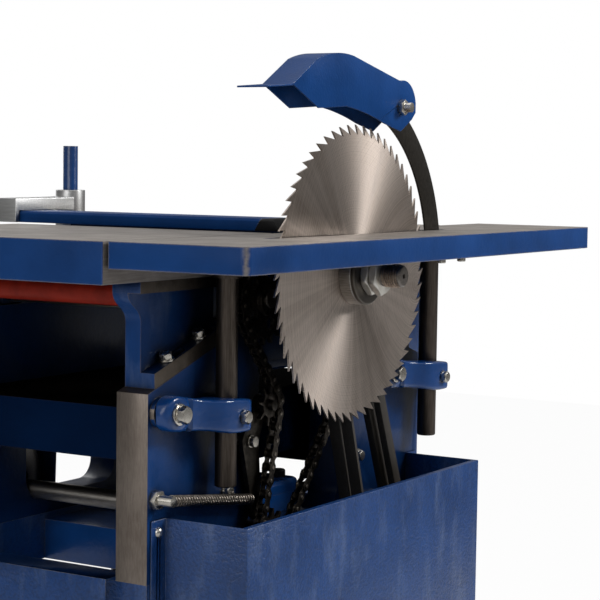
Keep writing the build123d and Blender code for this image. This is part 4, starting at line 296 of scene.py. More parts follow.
def part_bare(name, faces, stretch, light, dark, chips, corner=None, deep_shade=1.0, rubbed=0.0, shine=0.85,
              sheen=0.22, unshaded_share=1.0):
    """Enamel with bare tool-marked iron on some faces; deep_shade is how dark the painted shade in its
    deep hollows is.

    shine is how metallic the iron is, sheen how glossy the whole is, and unshaded_share how much of
    the enamel's own colour is kept, the rest being painted dark as shade."""
    material, tree, shader = new_finish(name)
    iron_colour, iron_rough, iron_bump = bare_iron(tree, stretch, light, dark)
    colour, rough, bump = blue_coat(tree, rubbed=rubbed, **IRON_COAT)
    # Painted shade: the enamel is mixed towards dark blue by the given share, for castings that stand in
    # shade
    colour = add(tree, "ShaderNodeMix", {"Factor": unshaded_share, COLOUR_A: linear(BLUE_SHADE_AND_DUST), COLOUR_B: colour},
                 data_type="RGBA").outputs[COLOUR_OUT]
    bare = marked_faces(tree, faces)
    shown = add(tree, "ShaderNodeMath", {0: bare, 1: edge_wear(tree, IRON_CHIP_MM, chips)},
                operation="MAXIMUM")
    if corner:
        shown = add(tree, "ShaderNodeMath", {0: shown, 1: worn_corner(tree, corner)},
                    operation="MAXIMUM")
    colour = add(tree, "ShaderNodeMix", {"Factor": shown, COLOUR_A: colour, COLOUR_B: iron_colour},
                 data_type="RGBA").outputs[COLOUR_OUT]
    # Painted shade: the whole colour is multiplied darker where the Ambient Occlusion mask finds deep
    # hollows
    air = add(tree, "ShaderNodeAmbientOcclusion", {"Distance": DEEP_SHADE_MM * MM}, samples=4).outputs["AO"]
    shade = add(tree, "ShaderNodeValToRGB", {"Fac": air}, [(0.3, grey(1 - deep_shade)), (0.85, grey(1))])
    colour = add(tree, "ShaderNodeMix", {"Factor": 1.0, COLOUR_A: colour, COLOUR_B: shade},
                 data_type="RGBA", blend_type="MULTIPLY").outputs[COLOUR_OUT]
    rough = add(tree, "ShaderNodeMix", {"Factor": shown, COLOUR_A: rough, COLOUR_B: iron_rough},
                data_type="RGBA").outputs[COLOUR_OUT]
    bump = add(tree, "ShaderNodeMix", {"Factor": bare, VECTOR_A: bump, VECTOR_B: iron_bump},
               data_type="VECTOR").outputs[VECTOR_OUT]
    metal = add(tree, "ShaderNodeMath", {0: shown, 1: shine}, operation="MULTIPLY")
    fill(tree, shader, {"Base Color": colour, "Roughness": rough, "Normal": bump, "Metallic": metal,
                        "Specular IOR Level": sheen})
    return material


def top_face(name):
    return ("Z", 1, "Z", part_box(name)[1].z, 4 * MM)


def side_faces(name):
    low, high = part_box(name)
    return [("X", -1, "X", low.x, 3 * MM), ("X", 1, "X", high.x, 3 * MM)]


ALONG_TABLE = (1, 0.04, 1)
DOWN_FRAME = (1, 1, 0.12)
ALONG_FLANGE = (1, 0.08, 0.08)
TABLE_EDGE = 2.6 * MM
SAW_LOW, SAW_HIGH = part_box("saw_table")
SAW_CORNER = (SAW_HIGH.x - TABLE_EDGE, SAW_LOW.y + TABLE_EDGE)
FRAME_LOW, FRAME_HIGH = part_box("saw_side_frame")
FRAME_FACES = [("Y", -1, "Y", FRAME_LOW.y, 4 * MM), ("Z", 1, "Z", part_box("infeed_brackets")[0].z, 8 * MM)]
# Each casting's deep hollows are painted darker, as shade, by the amount that each line gives
SAW_TOP = part_bare("ground_saw_table", [top_face("saw_table")], ALONG_TABLE, "#A9A29B", "#7F7771",
                    chips=1.6, corner=SAW_CORNER, deep_shade=0.3, shine=0.3)
PLANER_TOP = part_bare("ground_planer_tables", [top_face("infeed_table"), *side_faces("infeed_table")],
                       ALONG_TABLE, "#A9A29B", "#7F7771", chips=1.2, deep_shade=0.5, shine=0.3)
# The thickness table stands in the machine's shade, so its iron and enamel are painted dark as shade
THICK_TOP = part_bare("ground_thickness_table", [top_face("thickness_table")], ALONG_TABLE,
                      "#4A4540", "#332F2B", chips=0.6, shine=0.03, sheen=0.0, unshaded_share=0.2)
MILLED_FRAME = part_bare("milled_frame_edge", FRAME_FACES, DOWN_FRAME, "#90867D", "#71675F",
                         chips=0.9, deep_shade=0.8)
# The flanges carry pale streaks of wiped dust that are also a painted whitish sheen
MILLED_FLANGE = part_bare("milled_bracket_flanges", side_faces("infeed_brackets"), ALONG_FLANGE,
                          "#82786E", "#5A5148", chips=0.7, deep_shade=0.9, rubbed=0.45)
print("part-bare castings:", SAW_TOP.name, PLANER_TOP.name, MILLED_FRAME.name, MILLED_FLANGE.name)

# %% [markdown]
# ## Saw steel
# A saw blade is ground in circles, so it throws a bright bow-tie of light, crossed by the wider arcs
# of the grinder's wheel and by streaks wiped outwards. Drawn marks alone would look flat, so the bow
# comes from the shader's own stretched highlight, laid round the spindle, and the marks only break it.

# %% Blade finish
# Real grinding marks are finer than these, too fine to show in the render
RING_MM = 1.1
ARC_MM = 1.6
SMUDGE_MM = 60
STREAKS = 9.0
LAY_TURN = 0.906
SPINDLE_Z = (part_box("saw_blade")[0].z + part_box("saw_blade")[1].z) / 2
WHEEL_Y = 160 * MM
WHEEL_Z = SPINDLE_Z - 20 * MM


def from_line(tree, centre_y, centre_z):
    """The vector to a point from a line along X."""
    place = add(tree, "ShaderNodeTexCoord").outputs["Object"]
    moved = add(tree, "ShaderNodeVectorMath", {0: place, 1: (0, centre_y, centre_z)}, operation="SUBTRACT")
    return add(tree, "ShaderNodeVectorMath", {0: moved, 1: (0, 1, 1)}, operation="MULTIPLY")


def ring_marks(tree, centre_y, centre_z, pitch_mm):
    """Fine rings about a line along X, as noise of the distance from it."""
    reach = add(tree, "ShaderNodeVectorMath", {0: from_line(tree, centre_y, centre_z)}, operation="LENGTH")
    return add(tree, "ShaderNodeTexNoise", {"W": reach.outputs["Value"], "Scale": 1 / (pitch_mm * MM),
                                            "Detail": 3.0}, noise_dimensions="1D")


def ray_marks(tree, centre_z, scale):
    """Streaks that run out from a line along X, as noise of the direction alone."""
    way = add(tree, "ShaderNodeVectorMath", {0: from_line(tree, 0, centre_z)}, operation="NORMALIZE")
    return add(tree, "ShaderNodeTexNoise", {"Vector": way, "Scale": scale, "Detail": 6.0})


def saw_steel():
    """Ground saw steel: rings, wheel arcs and wiped streaks, with a stretched highlight across them."""
    material, tree, shader = new_finish("ground_saw_steel")
    marks = [(ring_marks(tree, 0, SPINDLE_Z, RING_MM), 0.2),
             (ring_marks(tree, WHEEL_Y, WHEEL_Z, ARC_MM), 0.25),
             (ray_marks(tree, SPINDLE_Z, STREAKS), 0.35),
             (mottle(tree, SMUDGE_MM, 5.0), 0.2)]
    mean = 0.0
    for mark, weight in marks:
        mean = add(tree, "ShaderNodeMath", {0: mark, 1: weight, 2: mean}, operation="MULTIPLY_ADD")
    colour = add(tree, "ShaderNodeValToRGB", {"Fac": mean},
                 [(0.4, linear("#978B81")), (0.6, linear("#D6C9BF"))])
    rough = add(tree, "ShaderNodeValToRGB", {"Fac": mean}, [(0.4, grey(0.45)), (0.6, grey(0.29))])
    bump = add(tree, "ShaderNodeBump", {"Height": mean, "Strength": 0.2, "Distance": 0.2 * MM})
    lay = add(tree, "ShaderNodeTangent", direction_type="RADIAL", axis="X")
    fill(tree, shader, {"Base Color": colour, "Roughness": rough, "Normal": bump, "Tangent": lay,
                        "Metallic": 1.0, "Anisotropic": 0.8, "Anisotropic Rotation": LAY_TURN})
    return material


SAW_STEEL = saw_steel()
print("blade finish:", SAW_STEEL.name, "about a spindle at", round(SPINDLE_Z, 4))

# %% [markdown]
# ## Other steels
# Posts and flanges are turned, bolts are zinc plated, and the chain and lever are dark with oil. Each
# could have its own network of nodes, but all are metals with the default IOR that differ only in
# colour, in roughness and in the size and direction of their grain, so one function makes them.
# Chosen faces, such as the ends of the chain's pins, take a colour of their own.

# %% Metal finishes
GRAIN_DEPTH = 0.3 * MM


def face_tint(tree, colour, faces, tint):
    """A colour that gives way to a tint on chosen faces, if there are any."""
    if not faces:
        return colour
    return add(tree, "ShaderNodeMix", {"Factor": marked_faces(tree, faces), COLOUR_A: colour,
                                       COLOUR_B: linear(tint)}, data_type="RGBA").outputs[COLOUR_OUT]


def plain_metal(name, light, dark, rough, grain_mm, stretch=(1, 1, 1), relief=0.1, faces=None, tint=None):
    """Metal whose grain sets its colour, its lowest to highest roughness and its relief."""
    material, tree, shader = new_finish(name)
    grain = mottle(tree, grain_mm, 5.0, stretch)
    colour = add(tree, "ShaderNodeValToRGB", {"Fac": grain},
                 [(0.32, linear(dark)), (0.68, linear(light))])
    bump = add(tree, "ShaderNodeBump", {"Height": grain, "Strength": relief, "Distance": GRAIN_DEPTH})
    gloss = add(tree, "ShaderNodeValToRGB", {"Fac": grain},
                [(0.3, grey(rough[1])), (0.7, grey(rough[0]))])
    fill(tree, shader, {"Base Color": face_tint(tree, colour, faces, tint), "Roughness": gloss,
                        "Normal": bump, "Metallic": 1.0})
    return material


ALONG_X = (0.1, 1, 1)
FAR_ALONG_X = (0.05, 1, 1)
FAR_ALONG_Z = (1, 1, 0.05)
CHAIN_LOW, CHAIN_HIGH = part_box("feed_chain")
OUTER_WASHER = [("X", 0, "X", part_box("blade_flanges")[1].x, 5 * MM)]
PIN_ENDS = [("X", 1, "X", CHAIN_HIGH.x, 0.5 * MM), ("X", -1, "X", CHAIN_LOW.x, 0.5 * MM)]
# Real drawn and turned marks are finer than these grains, too fine to show in the render
KNIFE_STEEL = plain_metal("planer_knife_steel", "#B9B5AF", "#98938D", (0.22, 0.34), 1.2, FAR_ALONG_X)
POST_STEEL = plain_metal("bright_drawn_posts", "#5E564F", "#443D37", (0.36, 0.48), 1.4, FAR_ALONG_Z)
TURNED_STEEL = plain_metal("turned_steel", "#8E8882", "#6F6963", (0.3, 0.42), 1.4, ALONG_X)
FLANGE_STEEL = plain_metal("turned_flange_steel", "#A8A49E", "#85807A", (0.28, 0.4), 1.2, ALONG_X,
                           faces=OUTER_WASHER, tint="#5A554F")
BLACK_STEEL = plain_metal("blackened_steel", "#46423C", "#2F2C28", (0.34, 0.5), 6.0)
ZINC = plain_metal("zinc_plated_steel", "#CFCBC3", "#B2ADA3", (0.24, 0.3), 14.0, relief=0.02)
NUT_ZINC = plain_metal("dulled_zinc", "#DEDBD4", "#C2BEB5", (0.4, 0.5), 14.0, relief=0.02)
THREAD_STEEL = plain_metal("rusted_thread", "#A39282", "#64554A", (0.28, 0.42), 4.0)
CHAIN_STEEL = plain_metal("oiled_chain_steel", "#57514A", "#2A2622", (0.28, 0.46), 4.0, relief=0.3,
                          faces=PIN_ENDS, tint="#8E867C")
SPRING_STEEL = plain_metal("spring_wire", "#A59C92", "#6B635A", (0.25, 0.4), 3.0)
ALLOY = plain_metal("satin_alloy", "#C6C6C5", "#ABABAA", (0.34, 0.44), 2.0, FAR_ALONG_X)
print("metals:", POST_STEEL.name, FLANGE_STEEL.name, ZINC.name, CHAIN_STEEL.name)

# %% [markdown]
# ## Rubber, mouldings and the red bar
# The V-belts are cotton-wrapped rubber, dull and slightly dusty. Caps, grip and fan cover are black
# mouldings with a fine spark-eroded grain. The red bar has a satin paint that hands have dulled. None
# is metal and each is even in gloss, so a two-tone grain and one roughness are enough.

# %% Dull finishes
PAINT_DEPTH = 0.4 * MM


def dull(name, light, dark, rough, grain_mm, relief, faces=None, tint=None, sheen=0.5):
    """Paint, rubber or plastic with a two-tone grain and one roughness."""
    material, tree, shader = new_finish(name)
    grain = mottle(tree, grain_mm)
    bump = add(tree, "ShaderNodeBump", {"Height": grain, "Strength": relief, "Distance": PAINT_DEPTH})
    colour = add(tree, "ShaderNodeValToRGB", {"Fac": grain},
                 [(0.35, linear(dark)), (0.7, linear(light))])
    fill(tree, shader, {"Base Color": face_tint(tree, colour, faces, tint), "Roughness": rough,
                        "Normal": bump, "Specular IOR Level": sheen})
    return material


BELT_FLANKS = [("X", 1, "X", 0.0, 1.0), ("X", -1, "X", 0.0, 1.0)]
BELT_RUBBER = dull("wrapped_belt_rubber", "#242220", "#141312", rough=0.6, grain_mm=2.0, relief=0.4,
                   faces=BELT_FLANKS, tint="#37322C")
# The grain of a real moulding is finer than this, too fine to show in the render
BLACK_MOULDING = dull("black_moulding", "#19191A", "#0F0F10", rough=0.46, grain_mm=1.2, relief=0.2,
                      sheen=0.14)
RED_PAINT = dull("red_paint", "#9C2A18", "#7C1F11", rough=0.42, grain_mm=30.0, relief=0.05, sheen=0.16)
MOTOR_PAINT = dull("satin_motor_paint", "#1F2A3A", "#151D29", rough=0.4, grain_mm=8.0, relief=0.2)
print("dull finishes:", BELT_RUBBER.name, BLACK_MOULDING.name, RED_PAINT.name, MOTOR_PAINT.name)

# %% [markdown]
# ## Finishing the solids
# Real edges are never sharp: castings are rounded, sheets are folded and turned parts are broken
# with a file. The meshes could be rounded one by one, but modifiers leave them as they were packed. A
# small node group welds each solid's faces, a Bevel modifier rounds its edges by a real amount in
# millimetres, and a second group shades it smooth up to a given angle.

# %% Rounding modifiers
WELD_GAP = 0.005 * MM
SMOOTH_UP_TO = radians(34)
ROUND_FROM = radians(40)
ROUND_STEPS = 3


def geometry_group(name):
    """A node group with one mesh in and one out: (group, node of the mesh that comes in)."""
    group = bpy.data.node_groups.new(name, "GeometryNodeTree")
    group.interface.new_socket("Geometry", in_out="INPUT", socket_type="NodeSocketGeometry")
    group.interface.new_socket("Geometry", in_out="OUTPUT", socket_type="NodeSocketGeometry")
    return group, add(group, "NodeGroupInput")


def weld_group():
    group, mesh = geometry_group("weld_faces")
    bare = add(group, "GeometryNodeRemoveAttribute", {"Geometry": mesh, "Name": "custom_normal"})
    joined = add(group, "GeometryNodeMergeByDistance", {"Geometry": bare, "Distance": WELD_GAP})
    add(group, "NodeGroupOutput", {0: joined})
    return group


def shade_group():
    group, mesh = geometry_group("shade_rounded")
    angle = add(group, "GeometryNodeInputMeshEdgeAngle").outputs["Unsigned Angle"]
    sharp = add(group, "FunctionNodeCompare", {0: angle, 1: SMOOTH_UP_TO}, operation="GREATER_THAN")
    smooth = add(group, "GeometryNodeSetShadeSmooth", {"Geometry": mesh, "Shade Smooth": True},
                 domain="FACE")
    kept = add(group, "GeometryNodeSetShadeSmooth",
               {"Geometry": smooth, "Selection": sharp, "Shade Smooth": False}, domain="EDGE")
    add(group, "NodeGroupOutput", {0: kept})
    return group


WELD = weld_group()
SHADE = shade_group()


def round_off(obj, edge_mm):
    """Weld, round by edge_mm and shade an object; 0 leaves its edges sharp."""
    obj.modifiers.new("weld", "NODES").node_group = WELD
    if edge_mm:
        bevel = obj.modifiers.new("edge", "BEVEL")
        bevel.width = edge_mm * MM
        bevel.segments = ROUND_STEPS
        bevel.limit_method = "ANGLE"
        bevel.angle_limit = ROUND_FROM
    obj.modifiers.new("shade", "NODES").node_group = SHADE


def dress(material, edge_mm, *names):
    """Give CAD solids a finish and rounded edges."""
    for name in names:
        obj = NODES[name]
        obj.data.materials.clear()
        obj.data.materials.append(material)
        round_off(obj, edge_mm)
    print(material.name, "on", ", ".join(names))


print("modifiers:", WELD.name, SHADE.name)

# %% [markdown]
# ## Which finish goes where
# Castings are rounded most, sheet and turned parts least. The blade's teeth stay sharp. Each line
# gives a finish, the rounding of its edges in millimetres, and the solids that wear it.

# %% Dress every solid
dress(MILLED_FRAME, 2.0, "saw_side_frame", "far_side_frame", "roller_blocks")
dress(CAST_ENAMEL, 2.5, "bearing_housings", "gearbox_housing", "lift_housing", "guard_post")
dress(MILLED_FLANGE, 2.0, "infeed_brackets", "outfeed_brackets")
dress(SHEET_ENAMEL, 1.0, "stand_frame", "motor_shelf", "far_belt_cover", "belt_box")
dress(HOOD_ENAMEL, 0.8, "saw_hood", "guard_bar")
dress(SAW_TOP, 1.6, "saw_table")
dress(PLANER_TOP, 1.6, "infeed_table", "outfeed_table")
dress(THICK_TOP, 1.6, "thickness_table")
dress(SAW_STEEL, 0, "saw_blade")
dress(KNIFE_STEEL, 0.2, "cutter_knives")
dress(POST_STEEL, 0.5, "table_posts")
dress(TURNED_STEEL, 0.5, "cutter_block", "knife_wedges", "infeed_roller", "outfeed_roller")
dress(TURNED_STEEL, 0.5, "spindle_bearings", "lift_screw")
dress(FLANGE_STEEL, 0.6, "blade_flanges", "spindle_pulleys", "motor_pulley", "feed_input_pulley")
dress(ZINC, 0.4, "frame_bolts", "slot_bolts", "post_lock_screws", "hood_bolt", "belt_box_screws")
dress(ZINC, 0.4, "spring_stud", "lever_pivot_bolt")
dress(BLACK_STEEL, 0.4, "riving_knife", "knife_bracket", "tension_lever", "handwheel")
dress(CHAIN_STEEL, 0.3, "infeed_sprocket", "outfeed_sprocket", "drive_sprocket", "idler_sprocket")
dress(BELT_RUBBER, 0.6, "v_belts")
dress(BLACK_MOULDING, 1.0, "guard_end_cap", "gearbox_cap", "handwheel_grip", "motor_fan_cover")
dress(BLACK_MOULDING, 1.0, "motor_terminal_box")
dress(ALLOY, 0.8, "guard_carrier")
dress(RED_PAINT, 0.6, "infeed_tie_bar")
dress(MOTOR_PAINT, 0.6, "motor_housing")

# %% [markdown]
# ## Cast clamps
# The clamps on the posts are small castings with generous round edges and soft hollows, too rounded
# for a bevel. Each solid is turned to even small squares and relaxed, as sand and paint round a
# pattern, while the bores for the post stay where they are. Then each point is moved a little, to
# dome the boss and narrow the arm.

# %% Clamps
CLAMP_SQUARE = 1.3 * MM
RELAX_STEPS = 26
RELAX_SHARE = 0.5
ARM = 98 * MM
ARM_SHARE = 0.9
WAIST_SHARE = 0.78
BORE_REACH = 14 * MM
BOSS_R = 22 * MM
BOSS_SHARE = 0.25
WASHER_R = 13 * MM
DOME_R = 15 * MM
POST_LOW, POST_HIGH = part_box("table_posts")
POST_X = (POST_LOW.x + POST_HIGH.x) / 2
COLLAR_R = (POST_HIGH.x - POST_LOW.x) / 2
POST_YS = (POST_LOW.y + COLLAR_R, POST_HIGH.y - COLLAR_R)
CLAMP_LOW, CLAMP_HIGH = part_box("post_clamps")
LOCK_LOW, LOCK_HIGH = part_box("post_lock_screws")
BOSS_Z = CLAMP_HIGH.z - BOSS_R
EYE_Z = (LOCK_LOW.z + LOCK_HIGH.z) / 2


def new_piece(name, mesh, material, edge_mm=None):
    """A piece of the scene's own with one finish; edge_mm None adds no modifiers."""
    obj = bpy.data.objects.new(name, mesh)
    bpy.context.scene.collection.objects.link(obj)
    mesh.materials.clear()
    mesh.materials.append(material)
    if edge_mm is not None:
        round_off(obj, edge_mm)
    return obj


def relaxed_copy(name, keep):
    """An even, relaxed mesh of a solid; keep says which points stay where they are."""
    rough = bpy.data.objects.new(name + "_rough", NODES[name].data.copy())
    bpy.context.scene.collection.objects.link(rough)
    rough.modifiers.new("weld", "NODES").node_group = WELD
    squares = rough.modifiers.new("squares", "REMESH")
    squares.mode = "VOXEL"
    squares.voxel_size = CLAMP_SQUARE
    made = bpy.data.meshes.new_from_object(rough.evaluated_get(bpy.context.evaluated_depsgraph_get()))
    bpy.data.objects.remove(rough)
    work = bmesh.new()
    work.from_mesh(made)
    loose = [v for v in work.verts if not keep(v.co)]
    for _ in range(RELAX_STEPS):
        bmesh.ops.smooth_vert(work, verts=loose, factor=RELAX_SHARE,
                              use_axis_x=True, use_axis_y=True, use_axis_z=True)
    for face in work.faces:
        face.smooth = True
    work.to_mesh(made)
    work.free()
    return made


def in_bore(place):
    """True near a post, where the clamp has to keep its fit."""
    return any((place.x - POST_X) ** 2 + (place.y - y) ** 2 < BORE_REACH ** 2 for y in POST_YS)


def cast_form(place):
    """Move a point of a clamp: a domed boss round the bolt, a waist along the arm and a plump eye."""
    post_y = min(POST_YS, key=lambda y: abs(place.y - (y - ARM / 2)))
    along = max(0.0, min(1.0, (place.y - post_y + ARM) / ARM))
    middle = BOSS_Z + (EYE_Z - BOSS_Z) * along
    waist = sin(pi * along) ** 2
    place.z = middle + (place.z - middle) * (ARM_SHARE + (WAIST_SHARE - ARM_SHARE) * waist)
    out = Vector((place.y - post_y + ARM, place.z - BOSS_Z)).length - WASHER_R
    if out > 0 and along < BOSS_SHARE:
        front = (place.x - CLAMP_LOW.x) / (CLAMP_HIGH.x - CLAMP_LOW.x)
        place.x -= front * out ** 2 / (2 * DOME_R)


clamps = new_piece("cast_clamps", relaxed_copy("post_clamps", in_bore), CAST_ENAMEL)
for vertex in clamps.data.vertices:
    cast_form(vertex.co)
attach(clamps, "frame")
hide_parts("post_clamps")
print("clamps:", len(clamps.data.polygons), "faces round posts at", [round(y, 3) for y in POST_YS])

# %% [markdown]
# ## The spindle's thread
# The solid spindle ends in a plain rod, and the real one has a thread cut in it. A thread could be a
# texture, but its outline shows against the blade. So it is one ridge wound round the rod: four
# points across the ridge, repeated along a helix, with its feet sunk in the rod and its ends fading.

# %% Thread
THREAD_R = 13 * MM
THREAD_PITCH = 3 * MM
THREAD_STEPS = 40
THREAD_DEEP = -0.5 * MM
THREAD_TALL = 1.2 * MM
THREAD_FOOT, THREAD_CREST = 0.5, 0.1
THREAD_STOP = 5 * MM


def thread_mesh(start, end):
    """A helical ridge along X from start to end, about the spindle."""
    count = int((end - start) / THREAD_PITCH * THREAD_STEPS)
    points, faces = [], []
    for i in range(count + 1):
        turn = 2 * pi * i / THREAD_STEPS
        middle = start + THREAD_PITCH * (0.5 + i / THREAD_STEPS)
        tall = THREAD_TALL * min(1.0, i / THREAD_STEPS, (count - i) / THREAD_STEPS)
        for across, height in ((-THREAD_FOOT, THREAD_DEEP), (-THREAD_CREST, tall), (THREAD_CREST, tall),
                               (THREAD_FOOT, THREAD_DEEP)):
            radius = THREAD_R + height
            points.append((middle + across * THREAD_PITCH, radius * cos(turn),
                           SPINDLE_Z + radius * sin(turn)))
    for i in range(count):
        for k in range(3):
            a = 4 * i + k
            faces.append((a, a + 1, a + 5, a + 4))
    mesh = bpy.data.meshes.new("spindle_thread")
    mesh.from_pydata(points, [], faces)
    return mesh


NUT_START, NUT_END = (corner.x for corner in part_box("spindle_nuts"))
SPINDLE_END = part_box("cutter_block")[1].x
thread = new_piece("spindle_thread", thread_mesh(NUT_END, SPINDLE_END - THREAD_STOP), THREAD_STEEL, 0)
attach(thread, "spindle")
print("thread from", round(NUT_END, 4), "to", round(SPINDLE_END, 4))

# %% [markdown]
# ## A bead and two screws
# The saw-side frame's window has a thick cast bead along its upper edge, and two small screws hang
# under the saw table's rim. A curve with a bevel could make the bead, but one function that joins
# rings of points makes both: a rounded section repeated along the edge, and for each screw a stack of
# hexagons with a chamfer below.

# %% Bead and rim screws
WINDOW_TOP = SPINDLE_Z - 104 * MM
WINDOW_ENDS = (-82 * MM, 102 * MM)
BEAD_INSET = 2 * MM
BEAD_DROP = 15 * MM
BEAD_FULLNESS = 0.35
BEAD_SIDES = 16
BEAD_LENGTHS = 12
BEAD_X = (FRAME_LOW.x + BEAD_INSET, -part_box("far_side_frame")[0].x - BEAD_INSET)
RIM_SCREW_X = SAW_HIGH.x - 6 * MM
RIM_SCREW_YS = (54 * MM, 107 * MM)
# Radius of each hexagon and its height over the rim's lower edge
RIM_SCREW_RINGS = [(r * MM, z * MM) for r, z in ((4.6, 0.5), (5.8, 0.0), (5.8, -3.4), (4.9, -4.2))]


def tube_mesh(name, rings):
    """A closed mesh through rings of as many points each, capped at both ends."""
    points = [p for ring in rings for p in ring]
    size = len(rings[0])
    faces = [tuple(range(size))[::-1], tuple(range(len(points) - size, len(points)))]
    for i in range(len(rings) - 1):
        for k in range(size):
            a, b = i * size + k, i * size + (k + 1) % size
            faces.append((a, b, b + size, a + size))
    mesh = bpy.data.meshes.new(name)
    mesh.from_pydata(points, [], faces)
    work = bmesh.new()
    work.from_mesh(mesh)
    bmesh.ops.recalc_face_normals(work, faces=work.faces)
    work.to_mesh(mesh)
    work.free()
    return mesh


def bead_ring(y):
    """The bead's section at y: flat against the frame above, rounded below."""
    middle, half = (BEAD_X[0] + BEAD_X[1]) / 2, (BEAD_X[1] - BEAD_X[0]) / 2
    turns = [pi * k / BEAD_SIDES for k in range(BEAD_SIDES + 1)]
    lower = [(middle - half * cos(a), y, WINDOW_TOP - BEAD_DROP * sin(a) ** BEAD_FULLNESS) for a in turns]
    return [(middle - half, y, WINDOW_TOP + MM)] + lower + [(middle + half, y, WINDOW_TOP + MM)]


def hexagon_ring(x, y, z, radius):
    return [(x + radius * cos(pi * k / 3), y + radius * sin(pi * k / 3), z) for k in range(6)]


bead_step = (WINDOW_ENDS[1] - WINDOW_ENDS[0]) / BEAD_LENGTHS
bead_rings = [bead_ring(WINDOW_ENDS[0] + bead_step * k) for k in range(BEAD_LENGTHS + 1)]
bead = new_piece("window_bead", tube_mesh("window_bead", bead_rings), MILLED_FRAME, 0)
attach(bead, "frame")
for number, y in enumerate(RIM_SCREW_YS, 1):
    rings = [hexagon_ring(RIM_SCREW_X, y, SAW_LOW.z + z, r) for r, z in RIM_SCREW_RINGS]
    screw = new_piece("rim_screw_%d" % number, tube_mesh("rim_screw", rings), ZINC, 0.3)
    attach(screw, "saw_table")
print("bead along", [round(y, 3) for y in WINDOW_ENDS], "and", len(RIM_SCREW_YS), "screws under the rim")

# %% [markdown]
# ## Nuts on the spindle
# Two large hexagon nuts lock the saw flange. A bevel would round their edges evenly, but on a real
# nut a cone cuts the corners back at each face and leaves a curved edge on every flat. So each ring
# of points is the smaller of the hexagon and the cone.

# %% Spindle nuts
NUT_FLAT = 21.5 * MM
NUT_CONE = 0.96 * NUT_FLAT
NUT_STEPS = 96
NUT_DEPTHS = [d * MM for d in (0.0, 0.4, 0.8, 1.2, 1.7, 2.4)]
NUT_TURNS = (radians(-14), radians(-8))
GROOVE_R = 14 * MM
GROOVE_HALF = 0.4 * MM
NUT_MIDDLE = (NUT_START + NUT_END) / 2
GROOVE_X = (NUT_MIDDLE - GROOVE_HALF, NUT_MIDDLE + GROOVE_HALF)


def nut_ring(x, turn, depth=None):
    """A nut's outline at x, this deep behind its nearer face; no depth gives the groove between nuts."""
    ring = []
    for k in range(NUT_STEPS):
        angle = 2 * pi * k / NUT_STEPS
        flat = NUT_FLAT / cos((angle + pi / 6) % (pi / 3) - pi / 6)
        radius = GROOVE_R if depth is None else min(flat, NUT_CONE + depth * sqrt(3))
        ring.append((x, radius * cos(angle + turn), SPINDLE_Z + radius * sin(angle + turn)))
    return ring


def nut_rings(near, far, turn):
    """Rings from one face of a nut to the other."""
    first = [nut_ring(near + d, turn, d) for d in NUT_DEPTHS]
    return first + [nut_ring(far - d, turn, d) for d in reversed(NUT_DEPTHS)]


rings = nut_rings(NUT_START, GROOVE_X[0], NUT_TURNS[0])
rings += [nut_ring(x, NUT_TURNS[0]) for x in GROOVE_X]
rings += nut_rings(GROOVE_X[1], NUT_END, NUT_TURNS[1])
nuts = new_piece("spindle_locknuts", tube_mesh("spindle_locknuts", rings), NUT_ZINC, 0)
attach(nuts, "spindle")
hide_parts("spindle_nuts")
print("nuts of", len(rings), "rings from", round(NUT_START, 4), "to", round(NUT_END, 4))

# %% [markdown]
# ## Knees and end strip
# Behind each outfeed bracket a cast knee carries on the web under the table, level with the inclined
# way, and a planed strip closes the frame's rear end. Both are plain castings, so an outline drawn
# out to its thickness and rounded by the Bevel modifier is enough. The knees ride with the table.

# %% Outfeed knees and rear strip
FOOT_LOW, FOOT_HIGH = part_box("outfeed_brackets")
FOOT_END = FOOT_HIGH.y - 24 * MM
WAY_SLOPE = tan(radians(18))
TABLE_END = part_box("outfeed_table")[1].y
KNEE_WEB = (FRAME_LOW.x + 2 * MM, FRAME_LOW.x + 23 * MM)
KNEE_INNER = FOOT_END - 7 * MM
KNEE_OUTER = TABLE_END - 22 * MM
KNEE_TIP = TABLE_END - 5 * MM
FLARE_LOW = FOOT_HIGH.z - 61.5 * MM
FLARE_HIGH = FOOT_HIGH.z - 19.5 * MM
FLARE_STEPS = 8


def way_height(y):
    """The height of the inclined way at y."""
    return FOOT_LOW.z - WAY_SLOPE * (y - FOOT_END)


def knee_outline():
    """The knee in Y and Z: a foot along the way, an upright end, and a flare to the table."""
    points = [(y, way_height(y)) for y in (KNEE_INNER, KNEE_OUTER)]
    for k in range(FLARE_STEPS + 1):
        part = k / FLARE_STEPS
        share = part * part * (3 - 2 * part)
        points.append((KNEE_OUTER + (KNEE_TIP - KNEE_OUTER) * share,
                       FLARE_LOW + (FLARE_HIGH - FLARE_LOW) * part))
    return points + [(KNEE_TIP, FOOT_HIGH.z), (KNEE_INNER, FOOT_HIGH.z)]


for number, side in enumerate((1, -1), 1):
    rings = [[(side * x, y, z) for y, z in knee_outline()] for x in KNEE_WEB]
    knee = new_piece("outfeed_knee_%d" % number, tube_mesh("outfeed_knee", rings), CAST_ENAMEL, 2.0)
    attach(knee, "outfeed")
STRIP_X = (FRAME_LOW.x + 3 * MM, FRAME_HIGH.x - 8 * MM)
STRIP_Y = (FRAME_HIGH.y - MM, FRAME_HIGH.y + 7 * MM)
STRIP_Z = (FRAME_LOW.z + 10 * MM, way_height(STRIP_Y[1]) - 3 * MM)
strip_outline = [(0, 0), (1, 0), (1, 1), (0, 1)]
rings = [[(x, STRIP_Y[j], STRIP_Z[k]) for j, k in strip_outline] for x in STRIP_X]
strip = new_piece("frame_rear_strip", tube_mesh("frame_rear_strip", rings), CAST_ENAMEL, 1.5)
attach(strip, "frame")
print("knees to", round(KNEE_TIP, 4), "and a strip to", round(STRIP_Y[1], 4))

